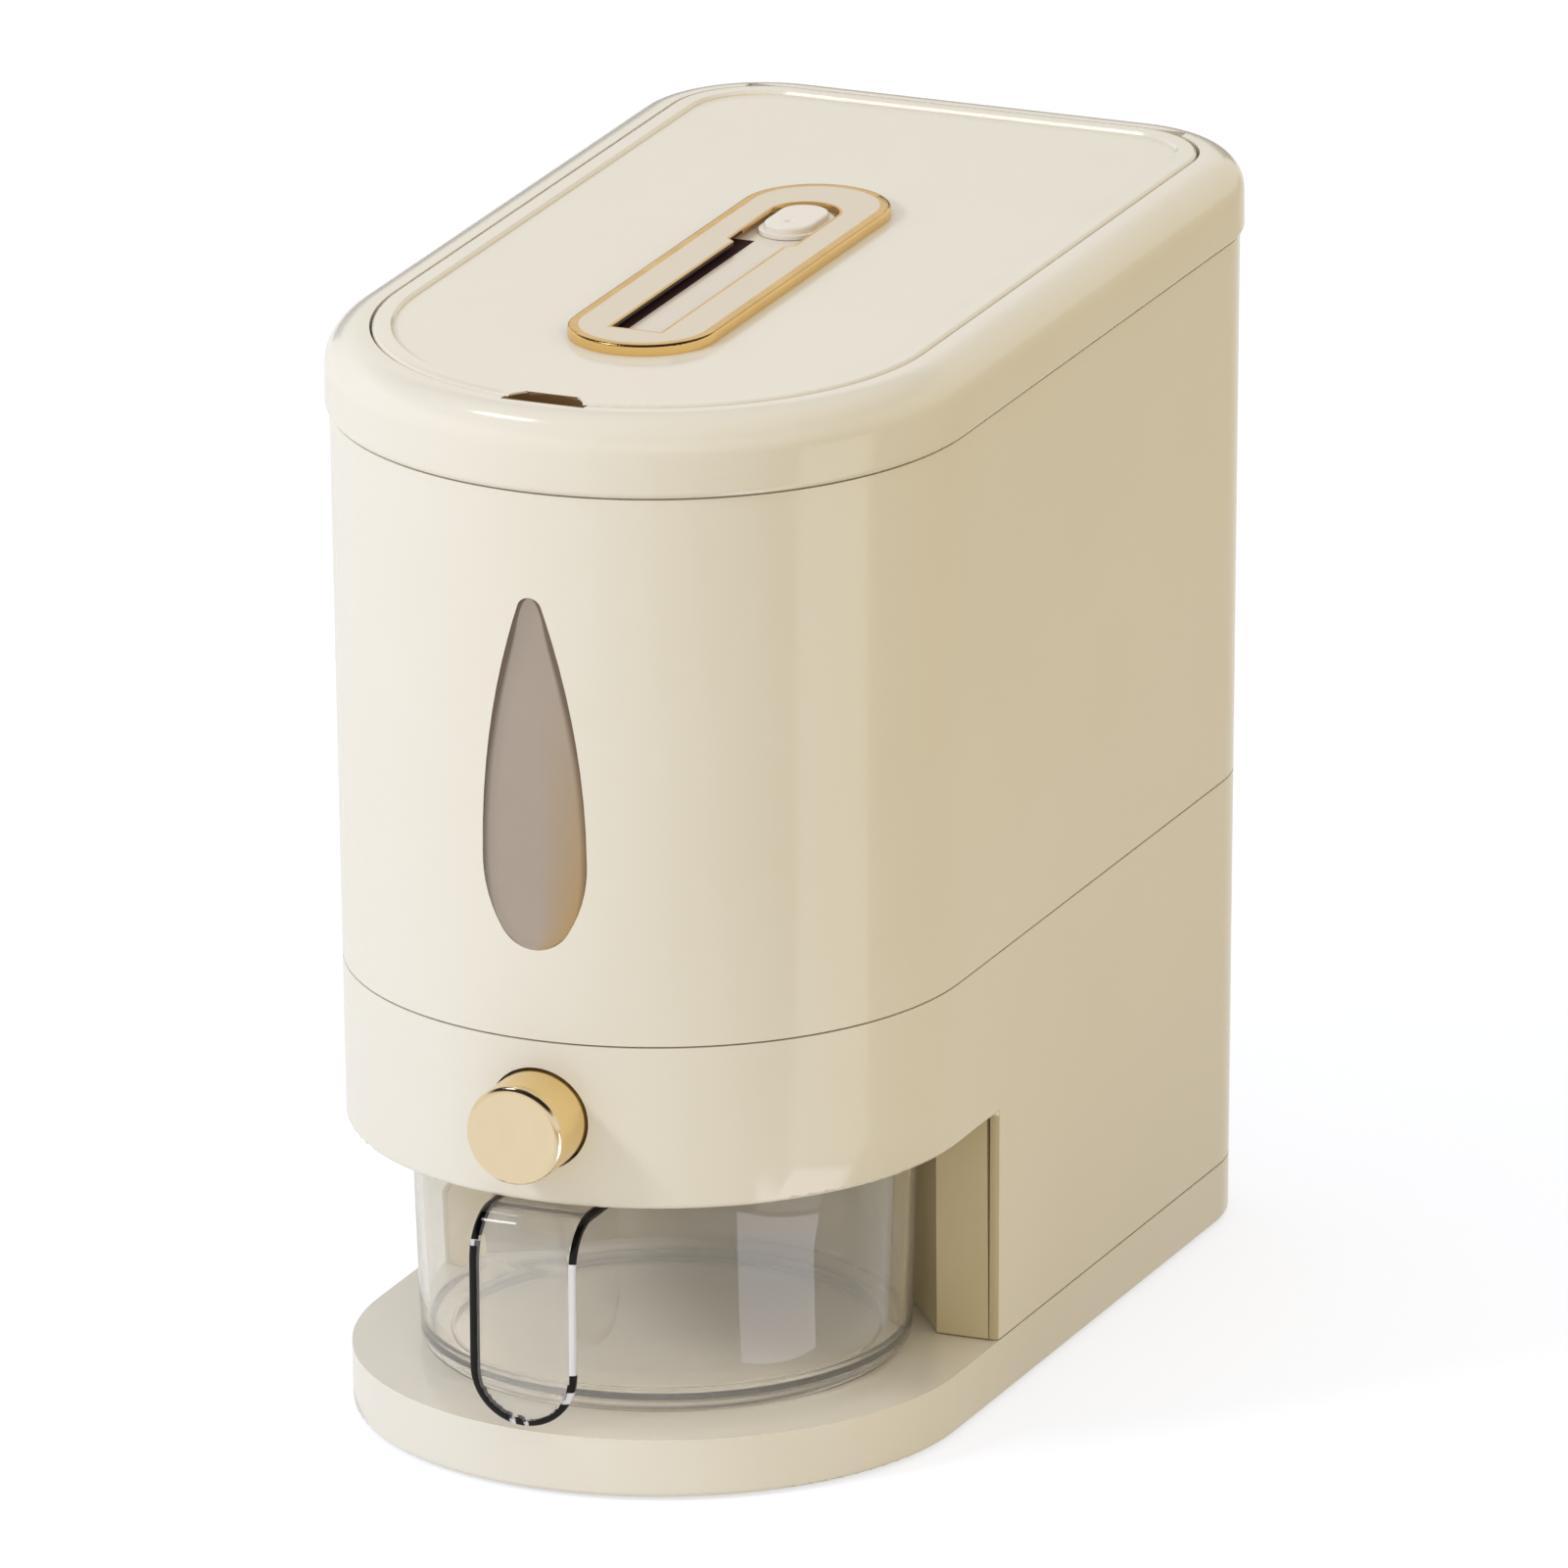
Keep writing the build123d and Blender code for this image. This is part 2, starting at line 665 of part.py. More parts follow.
with BuildPart() as funnel:
    add(hopper_form(slope_sheet, lip_inset))
    # outlet neck and the flange over the gate guide
    with BuildSketch(Plane.XY.offset(flange_z)):
        with Locations((0, arc_y)):
            Rectangle(2 * (outlet_half_x + neck_wall), 2 * (outlet_half_y + neck_wall))
    extrude(amount=neck_z - flange_z + neck_wall)
    with BuildSketch(Plane.XY.offset(flange_z)):
        with Locations((0, arc_y + flange_front_v)):
            Rectangle(2 * guide_half_x, flange_rear_v - flange_front_v, align=(Align.CENTER, Align.MIN))
    extrude(amount=flange_thick)
    add(lip_band(0, hopper_rise), mode=Mode.SUBTRACT)
    add(funnel_rim.part)
    add(hopper_form(0, lip_inset + lip_thick), mode=Mode.SUBTRACT)
    with BuildSketch(Plane.XY.offset(flange_z)):
        with Locations((0, arc_y)):
            Rectangle(2 * outlet_half_x, 2 * outlet_half_y)
    extrude(amount=neck_z - flange_z + past, mode=Mode.SUBTRACT)
funnel.part.label = "funnel"
export_step(funnel.part, "parts/funnel.step")

with BuildPart() as funnel_seal:
    with BuildSketch(Plane.XY.offset(gate_high + slack)):
        with Locations((0, arc_y)):
            Rectangle(2 * (outlet_half_x + seal_margin), 2 * (outlet_half_y + seal_margin))
            Rectangle(2 * outlet_half_x, 2 * outlet_half_y, mode=Mode.SUBTRACT)
    extrude(amount=flange_z - gate_high - slack)
funnel_seal.part.label = "funnel_seal"
export_step(funnel_seal.part, "parts/funnel_seal.step")


# ------------------------------------------------------------------ upper housing and window
def flank(end_radius, span):
    """Radius and angle of a side arc that starts upright and runs smoothly into an end arc."""
    radius = (window_half**2 + span**2 - end_radius**2) / (2 * (window_half - end_radius))
    return radius, degrees(atan2(span, radius - window_half))


def window_prism(grow):
    """Teardrop prism through the front of the body, grown outwards by grow."""
    low_radius, low_angle = flank(window_bowl, window_wide_z - window_low - window_bowl)
    high_radius, high_angle = flank(window_tip, window_high - window_tip - window_arc_z)
    with BuildPart() as prism:
        with BuildSketch(arc_plane):
            with BuildLine():
                bowl = JernArc((0, window_low - grow), (1, 0), window_bowl + grow, 90 - low_angle)
                low_flank = JernArc(bowl @ 1, bowl % 1, low_radius + grow, low_angle)
                upright = Line(low_flank @ 1, (window_half + grow, window_arc_z))
                high_flank = JernArc(upright @ 1, (0, 1), high_radius + grow, high_angle)
                JernArc(high_flank @ 1, high_flank % 1, window_tip + grow, 90 - high_angle)
                mirror(about=Plane.YZ)
            make_face()
        extrude(amount=1.3 * half_width)
    return prism.part


with BuildPart() as upper_housing:
    add(body_ring(upper_bottom, upper_top, 0, wall))
    # spigot inside the collar
    add(body_ring(upper_top - spigot_root, collar_bottom + spigot_high, spigot_inset,
                  spigot_inset + spigot_thick))
    add(window_prism(0), mode=Mode.SUBTRACT)
upper_housing.part.label = "upper_housing"
export_step(upper_housing.part, "parts/upper_housing.step")

lens_low = window_low - 2 * window_flange
lens_high = window_high + 2 * window_flange
gasket_inner = wall + gasket_thick  # inset of the face between gasket and lens flange
lens_inner = gasket_inner + lens_flange_thick


def window_shell(grow, outer, inner):
    """Piece of the front wall inside the grown teardrop, between two insets."""
    with BuildPart() as shell:
        add(window_prism(grow))
        add(body_block(lens_low, lens_high, outer), mode=Mode.INTERSECT)
        add(body_block(lens_low - past, lens_high + past, inner), mode=Mode.SUBTRACT)
    return shell.part


with BuildPart() as window_lens:
    add(window_shell(-window_gap, lens_set_back, lens_inner))
    add(window_shell(window_flange, gasket_inner, lens_inner))
window_lens.part.label = "window_lens"
export_step(window_lens.part, "parts/window_lens.step")

with BuildPart() as window_gasket:
    add(window_shell(window_flange, wall, gasket_inner))
    add(window_prism(window_gap), mode=Mode.SUBTRACT)
window_gasket.part.label = "window_gasket"
export_step(window_gasket.part, "parts/window_gasket.step")

# ------------------------------------------------------------------ top collar
with BuildPart() as top_collar:
    add(collar_block(collar_bottom, collar_top, 0))
    fillet(top_collar.faces().sort_by(Axis.Z)[-1].edges(), collar_round)
    fillet(top_collar.faces().sort_by(Axis.Z)[0].edges(), collar_low_round)
    # pocket for the lid
    add(collar_block(seat_z, collar_top + past, pocket_inset), mode=Mode.SUBTRACT)
    # space for the upper housing between the skirt and the throat
    add(collar_block(collar_bottom - past, seat_z - collar_roof, collar_skirt), mode=Mode.SUBTRACT)
    add(collar_block(throat_low, seat_z - collar_roof, throat_inset - throat_wall))
    # block under the finger pocket
    with BuildSketch(Plane.XY.offset(pocket_low - pocket_floor)):
        with Locations((0, arc_y + notch_v)):
            Circle(notch_radius + pocket_wall)
        add(d_face(0, collar_half - pocket_front, collar_rear - pocket_front, collar_corner - pocket_front),
            mode=Mode.INTERSECT)
    extrude(amount=seat_z - pocket_low + pocket_floor - collar_roof / 2)
    add(collar_block(throat_low - past, seat_z + past, throat_inset), mode=Mode.SUBTRACT)
    with BuildSketch(Plane.XY.offset(pocket_low)):
        with Locations((0, arc_y + notch_v)):
            Circle(notch_radius - 2 * slack)
        add(d_face(0, collar_half - pocket_inset, collar_rear - pocket_inset, collar_corner - pocket_inset),
            mode=Mode.INTERSECT)
        with Locations((0, arc_y)):
            Circle(collar_half - throat_inset + throat_wall, mode=Mode.SUBTRACT)
    extrude(amount=seat_z - pocket_low + past, mode=Mode.SUBTRACT)
    # blind holes for the hinge pins
    with BuildSketch(Plane.YZ):
        with Locations((hinge_y, hinge_z)):
            Circle(hinge_radius + tight)
    extrude(amount=pin_outer + slack, both=True, mode=Mode.SUBTRACT)
    # groove in which the lid's rear corners turn
    with BuildSketch(Plane.YZ):
        with Locations((hinge_y, hinge_z)):
            Circle(hinge_sweep)
    extrude(amount=hinge_sweep_end, both=True, mode=Mode.SUBTRACT)
top_collar.part.label = "top_collar"
export_step(top_collar.part, "parts/top_collar.step")

with BuildPart() as hinge_pins:
    with BuildSketch(Plane.YZ.offset(pin_inner)):
        with Locations((hinge_y, hinge_z)):
            Circle(hinge_radius)
    extrude(amount=pin_outer - pin_inner)
    mirror(about=Plane.YZ)
hinge_pins.part.label = "hinge_pins"
export_step(hinge_pins.part, "parts/hinge_pins.step")

# ------------------------------------------------------------------ lid
lid_screw_shank = 1.3
lid_screw_length = 13.2
lid_screw_head = 2.6
lid_screw_head_high = 1.6
lid_screw_bite = 2.3  # into the panel

with BuildPart() as lid_panel:
    add(lid_block(lid_lip_z, lid_rim_z, 0))
    fillet(lid_panel.faces().sort_by(Axis.Z)[-1].edges(), lid_round)
    fillet(lid_panel.faces().sort_by(Axis.Z)[0].edges(), lid_low_round)
    add(lid_block(lid_face_z, lid_rim_z + past, lid_border), mode=Mode.SUBTRACT)
    chamfer(lid_panel.faces().sort_by(Axis.Z)[-1].inner_wires()[0].edges(), border_bevel)
    add(lid_block(lid_lip_z - past, lid_under_z, lid_lip), mode=Mode.SUBTRACT)
    # finger notch at the front
    with BuildSketch(Plane.XY.offset(lid_lip_z - past)):
        with Locations((0, arc_y + notch_v)):
            Circle(notch_radius)
    extrude(amount=lid_rim_z - lid_lip_z + 2 * past, mode=Mode.SUBTRACT)
    # holes for the liner's screws, blind from below
    with BuildSketch(Plane.XY.offset(lid_under_z)):
        with Locations(lid_screw_places):
            Circle(lid_screw_shank + tight)
    extrude(amount=lid_screw_bite, mode=Mode.SUBTRACT)
    for side in (1, -1):
        with BuildSketch(Plane.YZ.offset(side * (pin_inner - slack))):
            with Locations((hinge_y, hinge_z)):
                Circle(hinge_radius + tight)
        extrude(amount=side * half_width, mode=Mode.SUBTRACT)
lid_panel.part.label = "lid_panel"
export_step(lid_panel.part, "parts/lid_panel.step")

liner_inset = throat_inset - pocket_inset - lid_gap + liner_gap
liner_round = 1.5
post_radius = 4.2
head_seat = 2.0  # depth of the screw heads' seats
seal_low = 341.0
seal_high = 344.0
seal_rib = 1.4
seal_rib_proud = 1.1
seal_squeeze = 0.4  # gap left to the throat
tray_wall = 1.5
tray_roof = 2.0
rail_low = 331.3
rail_front_v = -40.0
rail_stop = 2.0
rail_rear_v = tray_v + cover_half_y + slack + rail_stop
rail_wall = 2.5
rail_lip = 3.0

with BuildPart() as lid_liner:
    add(lid_block(liner_low, lid_under_z, liner_inset))
    fillet(lid_liner.faces().sort_by(Axis.Z)[0].edges(), liner_round)
    add(lid_block(liner_low + liner_wall, lid_under_z + past, liner_inset + liner_wall),
        mode=Mode.SUBTRACT)
    # ribs that hold the seal
    for rib_z in (seal_low - seal_rib, seal_high):
        add(lid_block(rib_z, rib_z + seal_rib, liner_inset - seal_rib_proud))
        add(lid_block(rib_z, rib_z + seal_rib, liner_inset + liner_wall), mode=Mode.SUBTRACT)
    # screw posts
    with BuildSketch(Plane.XY.offset(liner_low + past)):
        with Locations(lid_screw_places):
            Circle(post_radius)
    extrude(amount=lid_under_z - liner_low - past)
    # tray for the desiccant bag
    with BuildSketch(Plane.XY.offset(liner_low)):
        with Locations((0, arc_y + tray_v)):
            Rectangle(2 * (tray_half_x + tray_wall), 2 * (tray_half_y + tray_wall))
    extrude(amount=lid_under_z - liner_low)
    with BuildSketch(Plane.XY.offset(liner_low)):
        with Locations((0, arc_y + tray_v)):
            Rectangle(2 * tray_half_x, 2 * tray_half_y)
    extrude(amount=lid_under_z - liner_low - tray_roof, mode=Mode.SUBTRACT)
    # two rails and a stop that carry the desiccant cover
    with BuildSketch(Plane.XY.offset(rail_low)):
        with Locations((0, arc_y + rail_front_v)):
            Rectangle(2 * (cover_half_x + rail_wall), rail_rear_v - rail_front_v,
                      align=(Align.CENTER, Align.MIN))
    extrude(amount=liner_low - rail_low)
    with BuildSketch(Plane.XY.offset(cover_low - slack)):
        with Locations((0, arc_y + rail_front_v - past)):
            Rectangle(2 * (cover_half_x + bore_gap), rail_rear_v - rail_stop - rail_front_v + past,
                      align=(Align.CENTER, Align.MIN))
    extrude(amount=liner_low - cover_low + slack, mode=Mode.SUBTRACT)
    with BuildSketch(Plane.XY.offset(rail_low - past)):
        with Locations((0, arc_y + rail_front_v - past)):
            Rectangle(2 * (cover_half_x - rail_lip), rail_rear_v - rail_stop - rail_front_v + past,
                      align=(Align.CENTER, Align.MIN))
    extrude(amount=liner_low - rail_low + past, mode=Mode.SUBTRACT)
    # screw holes from below, with seats for the heads
    with BuildSketch(Plane.XY.offset(liner_low - past)):
        with Locations(lid_screw_places):
            Circle(lid_screw_shank + 2 * tight)
    extrude(amount=lid_under_z - liner_low + past, mode=Mode.SUBTRACT)
    with BuildSketch(Plane.XY.offset(liner_low - past)):
        with Locations(lid_screw_places):
            Circle(lid_screw_head + slack)
    extrude(amount=past + head_seat, mode=Mode.SUBTRACT)
lid_liner.part.label = "lid_liner"
export_step(lid_liner.part, "parts/lid_liner.step")

lid_screw = screw(lid_screw_head, lid_screw_head_high, lid_screw_shank, lid_screw_length)
lid_screws = screw_group(lid_screw_places, liner_low + head_seat, lid_screw)
lid_screws.label = "lid_screws"
export_step(lid_screws, "parts/lid_screws.step")

with BuildPart() as lid_seal:
    add(lid_block(seal_low, seal_high, liner_inset - liner_gap + seal_squeeze))
    add(lid_block(seal_low - past, seal_high + past, liner_inset), mode=Mode.SUBTRACT)
lid_seal.part.label = "lid_seal"
export_step(lid_seal.part, "parts/lid_seal.step")

# ------------------------------------------------------------------ desiccant bag and cover
with BuildPart() as desiccant_bag:
    with BuildSketch(Plane.XY.offset(cover_low + cover_thick + slack)):
        with Locations((0, arc_y + tray_v)):
            Rectangle(2 * (tray_half_x - bag_margin), 2 * (tray_half_y - bag_margin))
    extrude(amount=bag_thick)
    fillet(desiccant_bag.edges(), bag_round)
desiccant_bag.part.label = "desiccant_bag"
export_step(desiccant_bag.part, "parts/desiccant_bag.step")

vent_pitch = 7.0
vent_rows = 7
vent_column = 30.0
vent_length = 22.0
vent_width = 2.6
ridge_inset = 3.0
ridge_width = 24.0
ridge_thick = 2.4
ridge_drop = 2.0

with BuildPart() as desiccant_cover:
    with BuildSketch(Plane.XY.offset(cover_low)):
        with Locations((0, arc_y + tray_v)):
            Rectangle(2 * cover_half_x, 2 * cover_half_y)
            with GridLocations(vent_column, vent_pitch, 2, vent_rows):
                SlotOverall(vent_length, vent_width, mode=Mode.SUBTRACT)
    extrude(amount=cover_thick)
    # pull ridge at the front edge
    with BuildSketch(Plane.XY.offset(cover_low - ridge_drop)):
        with Locations((0, arc_y + tray_v - cover_half_y + ridge_inset)):
            Rectangle(ridge_width, ridge_thick)
    extrude(amount=ridge_drop + past)
desiccant_cover.part.label = "desiccant_cover"
export_step(desiccant_cover.part, "parts/desiccant_cover.step")


# ------------------------------------------------------------------ gold plate and slide
def slot_face(z, grow):
    """Plan of the slide's slot, wider at its rear end, grown outwards by grow."""
    narrow = slot_half + grow
    wide = slot_wide_half + grow
    with BuildSketch(Plane.XY.offset(z)) as face:
        with BuildLine():
            Polyline((-wide, arc_y + slot_rear_v - slot_wide_half),
                     (-wide, arc_y + slot_step_v + slot_wide_half - slot_half),
                     (-narrow, arc_y + slot_step_v),
                     (-narrow, arc_y + slot_front_v - grow),
                     (narrow, arc_y + slot_front_v - grow),
                     (narrow, arc_y + slot_step_v),
                     (wide, arc_y + slot_step_v + slot_wide_half - slot_half),
                     (wide, arc_y + slot_rear_v - slot_wide_half))
            CenterArc((0, arc_y + slot_rear_v - slot_wide_half), wide, 0, 180)
        make_face()
    return face.sketch


def plate_face(z, inset):
    """Pill-shaped plan of the gold plate, drawn in by inset."""
    with BuildSketch(Plane.XY.offset(z)) as face:
        with Locations((0, arc_y + plate_v)):
            SlotOverall(plate_length - 2 * inset, plate_width - 2 * inset, rotation=90)
    return face.sketch


plate_top = lid_face_z + plate_thick

with BuildPart() as lid_plate:
    extrude(plate_face(lid_face_z, 0), amount=plate_thick)
    fillet(lid_plate.faces().sort_by(Axis.Z)[-1].edges(), plate_round)
    extrude(plate_face(plate_top - inlay_thick, plate_ring), amount=inlay_thick, mode=Mode.SUBTRACT)
    extrude(slot_face(plate_top - inlay_thick, slot_lip), amount=inlay_thick)
    extrude(slot_face(lid_face_z, 0), amount=plate_thick, mode=Mode.SUBTRACT)
    extrude(slot_face(lid_face_z, undercut), amount=undercut_high, mode=Mode.SUBTRACT)
lid_plate.part.label = "lid_plate"
export_step(lid_plate.part, "parts/lid_plate.step")

with BuildPart() as lid_plate_inlay:
    extrude(plate_face(plate_top - inlay_thick, plate_ring), amount=inlay_thick)
    extrude(slot_face(plate_top - inlay_thick, slot_lip), amount=inlay_thick, mode=Mode.SUBTRACT)
lid_plate_inlay.part.label = "lid_plate_inlay"
export_step(lid_plate_inlay.part, "parts/lid_plate_inlay.step")

with BuildPart() as slide_track:
    extrude(slot_face(lid_face_z, undercut - track_gap), amount=track_thick)
slide_track.part.label = "slide_track"
export_step(slide_track.part, "parts/slide_track.step")

knob_foot_low = lid_face_z + track_thick + track_gap
knob_top = plate_top + knob_proud

with BuildPart() as slide_knob:
    with BuildSketch(Plane.XY.offset(knob_foot_low)):
        with Locations((0, arc_y + knob_v)):
            SlotCenterToCenter(knob_stretch, 2 * knob_foot_radius, rotation=90)
    extrude(amount=knob_foot_thick)
    with BuildSketch(Plane.XY.offset(knob_foot_low)):
        with Locations((0, arc_y + knob_v)):
            SlotCenterToCenter(knob_stretch, 2 * knob_radius, rotation=90)
    extrude(amount=knob_top - knob_foot_low)
    fillet(slide_knob.faces().sort_by(Axis.Z)[-1].edges(), knob_round)
    # small dimple near the knob's front end
    with Locations((0, arc_y + knob_v - knob_stretch / 2, knob_top + dimple_rise)):
        Sphere(dimple_radius, mode=Mode.SUBTRACT)
slide_knob.part.label = "slide_knob"
export_step(slide_knob.part, "parts/slide_knob.step")

# ------------------------------------------------------------------ cup
with BuildPart() as cup_hollow:
    with BuildSketch(arc_plane):
        with BuildLine():
            bottom = Line((0, cup_floor_z), (cup_low_radius - cup_wall - cup_floor_round, cup_floor_z))
            corner = TangentArc(bottom @ 1, (cup_low_radius - cup_wall, cup_floor_z + cup_floor_round),
                                tangent=(1, 0))
            side = Line(corner @ 1, (cup_radius - cup_wall, cup_high + past))
            Polyline(side @ 1, (0, cup_high + past), (0, cup_floor_z))
        make_face()
    revolve(axis=arc_axis)

cup_under_z = cup_floor_z - cup_floor_thick

with BuildPart() as cup:
    with BuildSketch(arc_plane):
        with BuildLine():
            foot = Line((cup_foot_radius - cup_foot_ring, cup_low), (cup_foot_radius, cup_low))
            foot_round = TangentArc(foot @ 1, (cup_low_radius, cup_low + cup_foot_round), tangent=(1, 0))
            outside = Line(foot_round @ 1, (cup_radius, cup_high))
            Polyline(outside @ 1, (0, cup_high), (0, cup_under_z),
                     (cup_foot_radius - cup_foot_ring, cup_under_z), foot @ 0)
        make_face()
    revolve(axis=arc_axis)
    # hooked handle: out from the rim, over and straight down
    with BuildSketch(side_plane):
        with BuildLine():
            top = Line((handle_root_v, cup_high), (handle_v + handle_bend, cup_high))
            over = TangentArc(top @ 1, (handle_v, cup_high - handle_bend), tangent=(-1, 0))
            drop = Polyline(over @ 1, (handle_v, handle_low), (handle_v + handle_thick, handle_low),
                            (handle_v + handle_thick, cup_high - handle_bend))
            under = TangentArc(drop @ 1, (handle_v + handle_bend, cup_high - handle_thick), tangent=(0, 1))
            Polyline(under @ 1, (handle_root_v, cup_high - handle_thick), (handle_root_v, cup_high))
        make_face()
    extrude(amount=handle_half, both=True)
    tongue_corners = cup.edges().filter_by(Axis.Y).group_by(Axis.Z)[0]
    fillet(tongue_corners, handle_half - slack)
    add(cup_hollow.part, mode=Mode.SUBTRACT)
cup.part.label = "cup"
export_step(cup.part, "parts/cup.step")
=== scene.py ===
"""Looks of a countertop rice dispenser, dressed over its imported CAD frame.

Metres, with the front at -Y and up at +Z. The sub-assemblies' own sizes are in millimetres.
"""

import logging
import math
from collections.abc import Iterable
from dataclasses import dataclass
from enum import Enum
from functools import reduce

import bmesh
import bpy
from mathutils import Matrix, Vector, noise


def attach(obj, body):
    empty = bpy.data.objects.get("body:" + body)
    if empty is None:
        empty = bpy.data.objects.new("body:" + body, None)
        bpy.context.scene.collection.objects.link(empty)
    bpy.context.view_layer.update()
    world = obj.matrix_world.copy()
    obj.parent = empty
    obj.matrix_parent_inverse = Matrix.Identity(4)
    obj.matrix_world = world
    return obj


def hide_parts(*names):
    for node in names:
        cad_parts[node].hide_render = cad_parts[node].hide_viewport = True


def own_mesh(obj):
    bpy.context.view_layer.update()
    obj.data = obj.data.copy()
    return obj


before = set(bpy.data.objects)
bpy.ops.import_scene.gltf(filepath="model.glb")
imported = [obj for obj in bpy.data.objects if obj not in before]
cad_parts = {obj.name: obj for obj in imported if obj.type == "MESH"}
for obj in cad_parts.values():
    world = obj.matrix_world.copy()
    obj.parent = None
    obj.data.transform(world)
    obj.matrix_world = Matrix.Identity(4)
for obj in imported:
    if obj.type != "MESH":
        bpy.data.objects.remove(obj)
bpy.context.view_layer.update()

Point = tuple[float, float, float]
Point2 = tuple[float, float]
Grain = tuple[float, float]  # size of noise patches in millimetres, and their detail
Face = tuple[int, ...]
Tree = bpy.types.NodeTree
Socket = bpy.types.NodeSocket

MM = 0.001
ARC_Y = -72.75  # axis of the half-round front, in millimetres
BAY_V = 33.0  # bay's flat face behind that axis
PATCH_LOW, PATCH_HIGH = 0.3, 0.7  # range that soft noise really fills
WELD_MM = 0.002  # CAD corners closer than this are one corner
SPLIT_ANGLE = math.radians(32)  # CAD edges sharper than this stay crisp
DOUBLES_MM = 0.001  # corners of a built mesh closer than this are one corner
LOG = logging.getLogger("rice_dispenser")


class Body(Enum):
    """Bodies of the frame that new pieces ride on."""

    HOUSING = "housing"
    CUP = "cup"
    LID = "lid"


class Slot(Enum):
    """Names of the record's material slots."""

    CLEAR = "clear"
    STEEL = "steel"
    BAG = "bag"


class EdgeTone(Enum):
    """Places of the cup's materials on its mesh: clear, painted dark and painted highlight."""

    CLEAR = 0
    DARK = 1
    LIT = 2


# ---------------------------------- node helpers
def linear(colour: str) -> tuple[float, float, float, float]:
    """Turn an sRGB hex colour into linear light.

    Args:
        colour: Colour as "#RRGGBB".

    Returns:
        Red, green, blue and full opacity.
    """
    channels = [int(colour[i:i + 2], 16) / 255 for i in (1, 3, 5)]
    red, green, blue = (c / 12.92 if c <= 0.04045 else ((c + 0.055) / 1.055) ** 2.4
                        for c in channels)
    return red, green, blue, 1.0


def add_node(tree: Tree, kind: str, settings: dict | None = None,
             links: dict | None = None) -> bpy.types.Node:
    """Add a node with its settings and links.

    Args:
        tree: Tree that the node goes into.
        kind: Blender's node type.
        settings: Node fields by attribute name, or input values by socket name or index.
        links: Output sockets to connect, by input name or index.

    Returns:
        The new node.
    """
    node = tree.nodes.new(kind)
    for key, value in (settings or {}).items():
        if isinstance(key, str) and hasattr(node, key):
            setattr(node, key, value)
        else:
            node.inputs[key].default_value = value
    for key, source in (links or {}).items():
        tree.links.new(source, node.inputs[key])
    return node


def mix(tree: Tree, share: Socket, low: str | Socket, high: str | Socket) -> Socket:
    """Mix two colours.

    Args:
        tree: Tree that the node goes into.
        share: Share of the second colour.
        low: First colour, as hex or as a socket.
        high: Second colour, as hex or as a socket.

    Returns:
        The mixed colour.
    """
    settings: dict = {"data_type": "RGBA"}
    links = {0: share}
    for key, colour in ((6, low), (7, high)):
        if isinstance(colour, str):
            settings[key] = linear(colour)
        else:
            links[key] = colour
    return add_node(tree, "ShaderNodeMix", settings, links).outputs[2]


def remap(tree: Tree, value: Socket, start: float, end: float, low: float = 0.0,
          high: float = 1.0) -> Socket:
    """Map the range from start to end onto the one from low to high, and stop at its ends."""
    settings = {"From Min": start, "From Max": end, "To Min": low, "To Max": high}
    return add_node(tree, "ShaderNodeMapRange", settings, {"Value": value}).outputs[0]


def compute(tree: Tree, operation: str, first: Socket, second: Socket | float = 0.0) -> Socket:
    """Add a maths node.

    Args:
        tree: Tree that the node goes into.
        operation: Blender's name of the operation.
        first: First value.
        second: Second value, as a number or as a socket.

    Returns:
        The result.
    """
    if isinstance(second, Socket):
        node = add_node(tree, "ShaderNodeMath", {"operation": operation}, {0: first, 1: second})
    else:
        node = add_node(tree, "ShaderNodeMath", {"operation": operation, 1: second}, {0: first})
    return node.outputs[0]


def chain(tree: Tree, operation: str, values: list[Socket]) -> Socket:
    """Join values one after another by the same operation."""
    return reduce(lambda first, second: compute(tree, operation, first, second), values)


def split_axes(tree: Tree, vector: Socket) -> bpy.types.bpy_prop_collection:
    """Return a vector's X, Y and Z."""
    return add_node(tree, "ShaderNodeSeparateXYZ", links={0: vector}).outputs


def patch(tree: Tree, place: Socket, grain: Grain) -> Socket:
    """Return soft noise from 0 to 1 with patches of a grain."""
    settings = {"Scale": 1 / (grain[0] * MM), "Detail": grain[1], "Roughness": 0.5}
    return add_node(tree, "ShaderNodeTexNoise", settings, {"Vector": place}).outputs[0]


def within(tree: Tree, place: Socket, middle: Point, reach: Point) -> Socket:
    """Test for a box.

    Args:
        tree: Tree that the nodes go into.
        place: Place on the surface.
        middle: Middle of the box in millimetres.
        reach: How far it reaches each way from there, in millimetres.

    Returns:
        1 inside the box and 0 outside.
    """
    away = add_node(tree, "ShaderNodeVectorMath",
                    {"operation": "SUBTRACT", 1: Vector(middle) * MM}, {0: place}).outputs[0]
    span = add_node(tree, "ShaderNodeVectorMath", {"operation": "ABSOLUTE"}, {0: away}).outputs[0]
    return chain(tree, "MULTIPLY", [compute(tree, "LESS_THAN", part, limit * MM)
                                    for part, limit in zip(split_axes(tree, span), reach)])


def relief(tree: Tree, height: Socket, depth_mm: float) -> Socket:
    """Turn a height from 0 to 1 into a bumped normal of depth_mm."""
    settings = {"Strength": 1.0, "Distance": depth_mm * MM}
    return add_node(tree, "ShaderNodeBump", settings, {"Height": height}).outputs[0]


def straight_rays(tree: Tree, rays: bpy.types.bpy_prop_collection) -> Socket:
    """Return 1 for what the camera sees, itself or through clear plastic."""
    return compute(tree, "MAXIMUM", rays["Is Camera Ray"], rays["Is Transmission Ray"])


